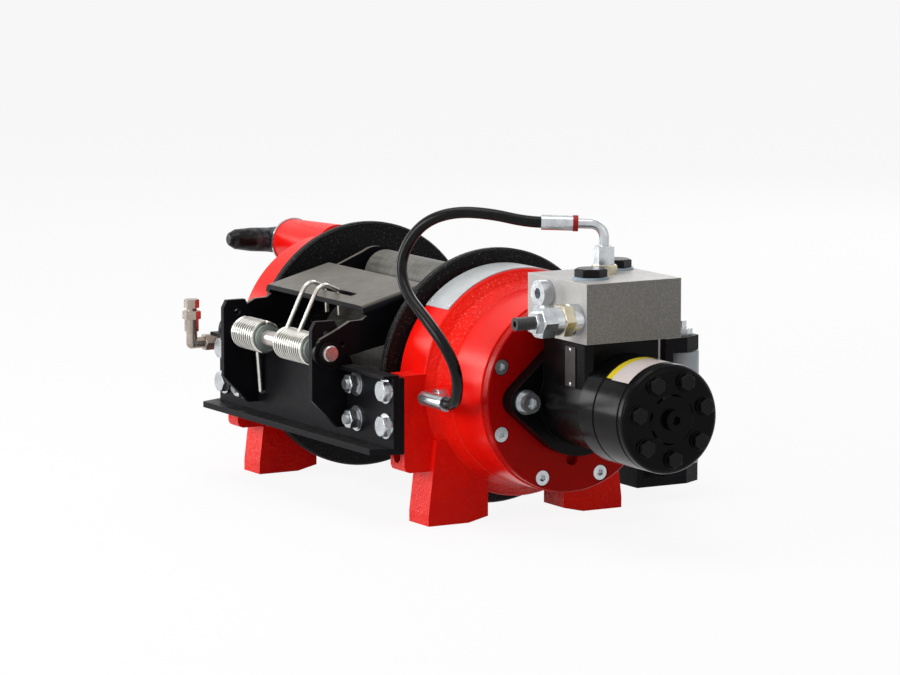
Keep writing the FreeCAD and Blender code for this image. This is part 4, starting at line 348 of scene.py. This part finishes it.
FINISH = {
    "red_cast": red_casting("red_casting_paint", RED, RED_DEEP),
    # the covers' smoother red paint, made darker than the casting's red as painted shade on their +X faces
    "red_cover": paint("red_cover_paint_painted_shade", rgb(0.47, 0.003, 0.003), rgb(0.40, 0.002, 0.003),
                       grain=1.2, depth=0.004, roughness=0.28, specular=0.12, tint=RED_GLOSS),
    "black_plate": powder_coat("black_powder_coat", BLACK, 0.40, top=PLATE_TOP_PAINTED_SHEEN),
    "flap": powder_coat("black_satin_sheet", BLACK, 0.34, grain=0.7, depth=0.006, top=SHEET_TOP_PAINTED_SHEEN),
    "drum_black": rough_casting("black_drum_casting", rgb(0.0060, 0.0060, 0.0066), WORN_GREY),
    "grip": hammered("black_forged_grip", rgb(0.0050, 0.0050, 0.0056), rgb(0.085, 0.090, 0.10)),
    "zinc": metal("bright_zinc", rgb(0.60, 0.62, 0.64), 0.22, tarnish=rgb(0.40, 0.42, 0.44),
                  metallic=0.9),
    "zinc_thread": threaded("zinc_thread", rgb(0.60, 0.62, 0.64), 0.28, "Y"),
    "spring_steel": metal("plated_spring_wire", rgb(0.74, 0.73, 0.68), 0.18, grain=9.0, depth=0.001,
                          tarnish=rgb(0.58, 0.56, 0.51), metallic=0.85, crevice_shade=shade_between_turns),
    "worn_steel": wound_steel("worn_roller_steel", rgb(0.075, 0.071, 0.062), rgb(0.175, 0.168, 0.150)),
    "barrel_steel": wound_steel("worn_barrel_steel", rgb(0.030, 0.029, 0.026), rgb(0.085, 0.080, 0.070)),
    "motor_black": paint("gloss_motor_paint", rgb(0.0018, 0.0018, 0.0021), rgb(0.0026, 0.0026, 0.0028),
                         grain=2.5, depth=0.003, roughness=0.20, edge=0.9, specular=0.07),
    "motor_cast": paint("gloss_motor_casting", rgb(0.0022, 0.0022, 0.0026), rgb(0.004, 0.004, 0.004),
                        grain=1.6, depth=0.12, roughness=0.24, edge=1.2, specular=0.08),
    "block_grey": valve_aluminium(),
    "yellow_zinc": metal("yellow_zinc", rgb(0.66, 0.61, 0.46), 0.24, tarnish=rgb(0.52, 0.46, 0.32)),
    "oxide_black": powder_coat("black_oxide", rgb(0.005, 0.005, 0.0056), 0.28, grain=0.6, depth=0.004,
                               specular=0.12),
    "black_thread": threaded("black_oxide_thread", rgb(0.030, 0.030, 0.030), 0.35, "Y", depth=0.25,
                             metallic=0.2),
    "washer_blue": paint("blue_grey_washer", rgb(0.38, 0.47, 0.54), rgb(0.33, 0.42, 0.49), grain=1.0,
                         depth=0.005, edge=0.4),
    "hose_rubber": hose_rubber(),
    "mark_red": paint("red_mark", rgb(0.35, 0.010, 0.010), rgb(0.26, 0.008, 0.008), grain=1.0,
                      depth=0.005, roughness=0.35, edge=0.3),
    "plate_bare": bare_plate("bare_name_plate", rgb(0.56, 0.58, 0.59), rgb(0.48, 0.50, 0.51)),
    "plate_dark": bare_plate("dark_data_plate", rgb(0.050, 0.046, 0.047), rgb(0.032, 0.030, 0.031)),
    "label_pale": paint("pale_label_film", rgb(0.58, 0.51, 0.49), rgb(0.52, 0.44, 0.42), grain=1.5,
                        depth=0.003, roughness=0.34, edge=0.1),
    "label_yellow": paint("yellow_label_film", rgb(0.66, 0.52, 0.02), rgb(0.56, 0.44, 0.02), grain=1.5,
                          depth=0.003, roughness=0.34, edge=0.1),
    "roller_grey": paint("roller_grey", rgb(0.46, 0.53, 0.56), rgb(0.40, 0.46, 0.49), grain=1.4,
                         depth=0.010, roughness=0.35),
    "bush_steel": metal("bush_steel", rgb(0.34, 0.40, 0.38), 0.35, metallic=0.5),
    "nickel_bronze": metal("nickel_bronze", rgb(0.42, 0.37, 0.32), 0.26, tarnish=rgb(0.32, 0.27, 0.23)),
    "turned_steel": metal("turned_steel", rgb(0.52, 0.47, 0.45), 0.24, grain=3.0, depth=0.002,
                          lines=(3.0, 1.0, 1.0)),
}

# nodes whose finish differs from the record's slot in its detail
SPECIAL = {
    "gear_end_cover": "red_cover", "clutch_end_cover": "red_cover", "tension_flap": "flap",
    "bracket_studs": "zinc_thread", "adjuster_screw": "black_thread", "motor_body": "motor_cast",
    "pivot_rod": "turned_steel", "clutch_handle": "grip", "drum_barrel": "barrel_steel",
    "motor_data_plate": "plate_dark", "air_fitting": "nickel_bronze", "spring_bushes": "bush_steel",
}


def dress(obj, material):
    """Give every material slot of an object one material."""
    slots = obj.data.materials
    if not slots:
        slots.append(material)
    for index in range(len(slots)):
        slots[index] = material


def dress_nodes():
    """Every node takes its special finish, or else that of its slot in the record."""
    for part in frame["record"]["subparts"]:
        name = part["node"]
        dress(nodes[name], FINISH[SPECIAL.get(name, part["material_slot"])])


# ---------------------------------------------------------------- piece helpers
def add_piece(name, data, body, finish):
    """An object of the scene's own, riding on a body of the winch."""
    obj = bpy.data.objects.new(name, data)
    bpy.context.scene.collection.objects.link(obj)
    dress(obj, FINISH[finish])
    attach(obj, body)
    return obj


def wire(name, routes, radius, order, resolution, bevel, factors=None):
    """Curve object data: one NURBS spline for each route, at its own share of the radius."""
    data = bpy.data.curves.new(name, "CURVE")
    data.dimensions = "3D"
    data.bevel_depth = radius
    data.bevel_resolution = bevel
    data.resolution_u = resolution
    data.use_fill_caps = True
    for route, factor in zip(routes, factors or [1.0] * len(routes)):
        spline = data.splines.new("NURBS")
        spline.points.add(len(route) - 1)
        for point, place in zip(spline.points, route):
            point.co = (*place, 1.0)
            point.radius = factor
        spline.order_u = order
        spline.use_endpoint_u = True
    return data


# ---------------------------------------------------------------- hose
HOSE_ROUTE = [(0.29906, -0.0465, 0.3038), (0.29202, -0.0586, 0.30422), (0.271, -0.086, 0.3115),
              (0.248, -0.111, 0.3126), (0.227, -0.131, 0.303), (0.211, -0.143, 0.281),
              (0.209, -0.150, 0.256), (0.227, -0.152, 0.233), (0.257, -0.149, 0.214),
              (0.281, -0.142, 0.191), (0.289, -0.134, 0.168), (0.279, -0.126, 0.147),
              (0.262, -0.120, 0.128), (0.246, -0.120, 0.128)]


def brake_hose():
    """Hose from its ferrule above the block down to the fitting on the gear housing."""
    data = wire("hydraulic_hose", [HOSE_ROUTE], HOSE_RADIUS, order=3, resolution=16, bevel=8)
    hose = add_piece("hydraulic_hose", data, "frame", "hose_rubber")
    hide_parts("brake_hose")


# ---------------------------------------------------------------- springs
def turn_points(start, end):
    """Points round the rod, one turn for each wire diameter, from the top of the coil."""
    steps = 16
    count = steps * round((end - start) / WIRE)
    points = []
    for i in range(count + 1):
        angle = math.radians(90 + 360 * i / steps)
        x = start + (end - start) * i / count
        points.append((x, ROD_Y + COIL_MEAN * math.cos(angle), ROD_Z + COIL_MEAN * math.sin(angle)))
    return points


def leg_points(x):
    """Upper leg from the coil, over the fold of the flap and down into its slot, further inwards."""
    fold_y, fold_z = -130.5 * MM, 206 * MM
    inside = x - 27 * MM
    return [(x, ROD_Y - 3 * MM, ROD_Z + COIL_MEAN - 0.5 * MM), (x, fold_y - 24 * MM, fold_z + 7 * MM),
            (x, fold_y - 21 * MM, fold_z + 13.5 * MM), (x, fold_y - 13.5 * MM, fold_z + 16.2 * MM),
            (x - 5 * MM, fold_y - 8 * MM, fold_z + 15 * MM),
            (inside + 3 * MM, -116 * MM, fold_z + 7 * MM), (inside, -113.2 * MM, fold_z + 5 * MM),
            (inside - 0.4 * MM, -112.4 * MM, fold_z), (inside - 1.5 * MM, -111 * MM, fold_z - 19 * MM)]


def springs():
    """Both coils and the upper legs as one wound wire, a little thinner so that the turns part."""
    half = WIRE / 2
    left, right = (turn_points(start + half, end - half) for start, end in COILS)
    legs = [leg_points(x) for x in LEGS]
    data = wire("tensioner_spring_wire", [left, right, *legs], half, order=4, resolution=3, bevel=5,
                factors=(0.89, 0.89, 0.96, 0.96))
    coils = add_piece("tensioner_spring_wire", data, "tensioner", "spring_steel")
    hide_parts("tension_springs")


# ---------------------------------------------------------------- labels, rivets and bolt flanges
def mesh_from(name, verts, faces, smooth=False):
    data = bpy.data.meshes.new(name)
    data.from_pydata(verts, [], faces)
    data.update()
    for polygon in data.polygons:
        polygon.use_smooth = smooth
    return data


def rivet(name, centre, direction, radius, height, body, finish):
    """Domed head on a surface."""
    rings, sides = 5, 20
    verts, faces = [], []
    axis = Vector(direction).normalized()
    turn = axis.to_track_quat("Z", "Y").to_matrix()
    for i in range(rings + 1):
        tilt = math.radians(90 * i / rings)
        for j in range(sides):
            spin = 2 * math.pi * j / sides
            reach = radius * math.cos(tilt)
            local = Vector((reach * math.cos(spin), reach * math.sin(spin), height * math.sin(tilt)))
            verts.append(Vector(centre) + turn @ local)
    for i in range(rings):
        for j in range(sides):
            k = (j + 1) % sides
            faces.append((i * sides + j, i * sides + k, (i + 1) * sides + k, (i + 1) * sides + j))
    return add_piece(name, mesh_from(name, verts, faces, True), body, finish)


def curved_label(name, x_span, angles, radius, finish):
    """Thin film round the motor: angles in degrees from the front side upwards."""
    steps, lift, thick = 24, 0.02 * MM, 0.12 * MM
    verts, faces = [], []
    for i in range(steps + 1):
        angle = math.radians(angles[0] + (angles[1] - angles[0]) * i / steps)
        for reach in (radius + lift, radius + thick):
            for x in x_span:
                verts.append((x, -reach * math.cos(angle), AXIS_HEIGHT + reach * math.sin(angle)))
    for i in range(steps):
        k = 4 * i
        faces += [(k + 2, k + 3, k + 7, k + 6), (k, k + 4, k + 5, k + 1),
                  (k, k + 2, k + 6, k + 4), (k + 1, k + 5, k + 7, k + 3)]
    last = 4 * steps
    faces += [(0, 1, 3, 2), (last, last + 2, last + 3, last + 1)]
    add_piece(name, mesh_from(name, verts, faces), "frame", finish)


def bolt_flange(centre, outer, inner, height):
    """Points and faces of a round flange along X with a chamfered outer edge."""
    section = [(0, inner), (0, outer), (height * 0.6, outer), (height, outer - height * 0.4),
               (height, inner)]
    sides = 32
    verts, faces = [], []
    for j in range(sides):
        spin = 2 * math.pi * j / sides
        for along, radius in section:
            verts.append((centre[0] + along, centre[1] + radius * math.cos(spin),
                          centre[2] + radius * math.sin(spin)))
    count = len(section)
    for j in range(sides):
        k = (j + 1) % sides
        for i in range(count):
            n = (i + 1) % count
            faces.append((j * count + i, j * count + n, k * count + n, k * count + i))
    return verts, faces


def motor_details():
    """Flanges under the end cap's bolts, rivets of the data plate, and bare labels."""
    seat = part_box("motor_cap_bolts")[0][0]
    verts, faces = [], []
    for i in range(CAP_BOLTS):
        angle = math.radians(CAP_BOLT_FIRST + 360 / CAP_BOLTS * i)
        centre = (seat, CAP_BOLT_REACH * math.cos(angle), AXIS_HEIGHT + CAP_BOLT_REACH * math.sin(angle))
        more, sides = bolt_flange(centre, 9.4 * MM, 5 * MM, 1.6 * MM)
        faces += [tuple(index + len(verts) for index in side) for side in sides]
        verts += more
    add_piece("motor_cap_bolt_flanges", mesh_from("motor_cap_bolt_flanges", verts, faces), "frame",
              "motor_black")
    low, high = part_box("motor_data_plate")
    middle = (low[0] + high[0]) / 2
    for name, z in (("low", low[2] + 2.6 * MM), ("high", high[2] - 2.6 * MM)):
        rivet("data_plate_rivet_" + name, (middle, low[1], z), (0, -1, 0), 1.9 * MM, 0.9 * MM, "frame",
              "zinc")
    low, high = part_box("motor_gerotor")
    radius = (high[1] - low[1]) / 2
    start, split, end = low[0] + 2.0 * MM, low[0] + 11.5 * MM, high[0] - 1.6 * MM
    curved_label("motor_label_pale", (split, end), (42, 95), radius, "label_pale")
    curved_label("motor_label_yellow", (start, split), (43, 104), radius, "label_yellow")


def name_plate_rivets():
    """Four rivets on the curved name plate, at angles in degrees from +Y."""
    low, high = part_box("name_plate")
    radius = high[2] - AXIS_HEIGHT
    for end, angle in (("front", 134.0), ("rear", 63.0)):
        for side, x in (("inner", low[0] + 4 * MM), ("outer", high[0] - 4 * MM)):
            turn = math.radians(angle)
            direction = (0, math.cos(turn), math.sin(turn))
            centre = (x, radius * direction[1], AXIS_HEIGHT + radius * direction[2])
            rivet(f"name_plate_rivet_{end}_{side}", centre, direction, 1.7 * MM, 0.8 * MM, "frame",
                  "zinc")


# ---------------------------------------------------------------- studio and camera
TARGET = Vector((0.0456, 0.0, 0.1594638))
EYE = Vector((4.12089, -2.35340, 0.81848))
FLOOR_HALF = 12.0
WORLD_LIGHT = 0.32
LAMPS = [  # name, place, width, height, watts
    ("overhead", (0.1, -0.5, 2.0), 1.6, 1.2, 19),
    ("front", (0.1, -2.4, 0.9), 1.2, 1.0, 34),
    ("front_left_low", (-2.0, -1.35, 0.5), 0.9, 0.9, 16),
    ("back", (-1.6, 2.0, 1.3), 1.2, 1.2, 16),
    ("right", (2.5, 0.6, 0.9), 1.2, 1.2, 3),
]


def aimed(name, data, place):
    """An object at a place, turned towards the middle of the winch."""
    obj = bpy.data.objects.new(name, data)
    obj.location = place
    obj.rotation_euler = (TARGET - Vector(place)).to_track_quat("-Z", "Y").to_euler()
    bpy.context.scene.collection.objects.link(obj)
    return obj


def seen_rays(tree):
    """1 for what the camera sees, straight or by way of gloss or glass, 0 for light on the winch."""
    path = tree.nodes.new("ShaderNodeLightPath").outputs
    seen = path["Is Camera Ray"]
    for ray in ("Is Glossy Ray", "Is Transmission Ray"):
        either = tree.nodes.new("ShaderNodeMath")
        either.operation = "MAXIMUM"
        tree.links.new(seen, either.inputs[0])
        tree.links.new(path[ray], either.inputs[1])
        seen = either.outputs[0]
    return seen


def floor():
    """Pale floor that keeps the shadow and throws little of its light back on the winch."""
    mesh = mesh_from("floor", [(x * FLOOR_HALF, y * FLOOR_HALF, 0) for x, y in
                               ((-1, -1), (1, -1), (1, 1), (-1, 1))], [(0, 1, 2, 3)])
    plane = bpy.data.objects.new("floor", mesh)
    plane.location.z = -0.0002
    bpy.context.scene.collection.objects.link(plane)
    s = Shader("white_floor")
    bounced = s.add("ShaderNodeLightPath").outputs["Is Diffuse Ray"]
    s.surface(s.blend(bounced, rgb(0.9, 0.9, 0.9), rgb(0.55, 0.55, 0.55)), 0.9, specular=0.0)
    glow = s.add("ShaderNodeEmission", {"Color": rgb(1, 1, 1), "Strength": 1.0})
    mix = s.add("ShaderNodeMixShader")
    s.feed(mix.inputs[0], s.math("MULTIPLY", seen_rays(s.tree), 0.9))
    s.feed(mix.inputs[1], s.bsdf.outputs[0])
    s.feed(mix.inputs[2], glow.outputs[0])
    s.feed(s.tree.nodes["Material Output"].inputs["Surface"], mix.outputs[0])
    dress(plane, s.material)


def surroundings():
    """White backdrop for what is seen, and a dimmer even light for the winch itself."""
    world = bpy.data.worlds.new("studio")
    bpy.context.scene.world = world
    world.use_nodes = True
    tree = world.node_tree
    level = tree.nodes.new("ShaderNodeMapRange")
    level.inputs["To Min"].default_value = WORLD_LIGHT
    level.inputs["To Max"].default_value = 1.0
    tree.links.new(seen_rays(tree), level.inputs["Value"])
    back = tree.nodes["Background"]
    back.inputs["Color"].default_value = rgb(1, 1, 1)
    tree.links.new(level.outputs["Result"], back.inputs["Strength"])


def lamps():
    for name, place, width, height, watts in LAMPS:
        lamp = bpy.data.lights.new(name, "AREA")
        lamp.shape = "RECTANGLE"
        lamp.size, lamp.size_y = width, height
        lamp.energy = watts
        aimed(name, lamp, place)


def camera():
    """Long lens from the front right, a little above the winch."""
    data = bpy.data.cameras.new("camera")
    data.lens = 189.57
    data.sensor_width = 36.0
    data.clip_end = 50.0
    bpy.context.scene.camera = aimed("camera", data, EYE)


dress_nodes()
brake_hose()
springs()
motor_details()
name_plate_rivets()
floor()
surroundings()
lamps()
camera()
bpy.context.scene.view_settings.view_transform = "Standard"
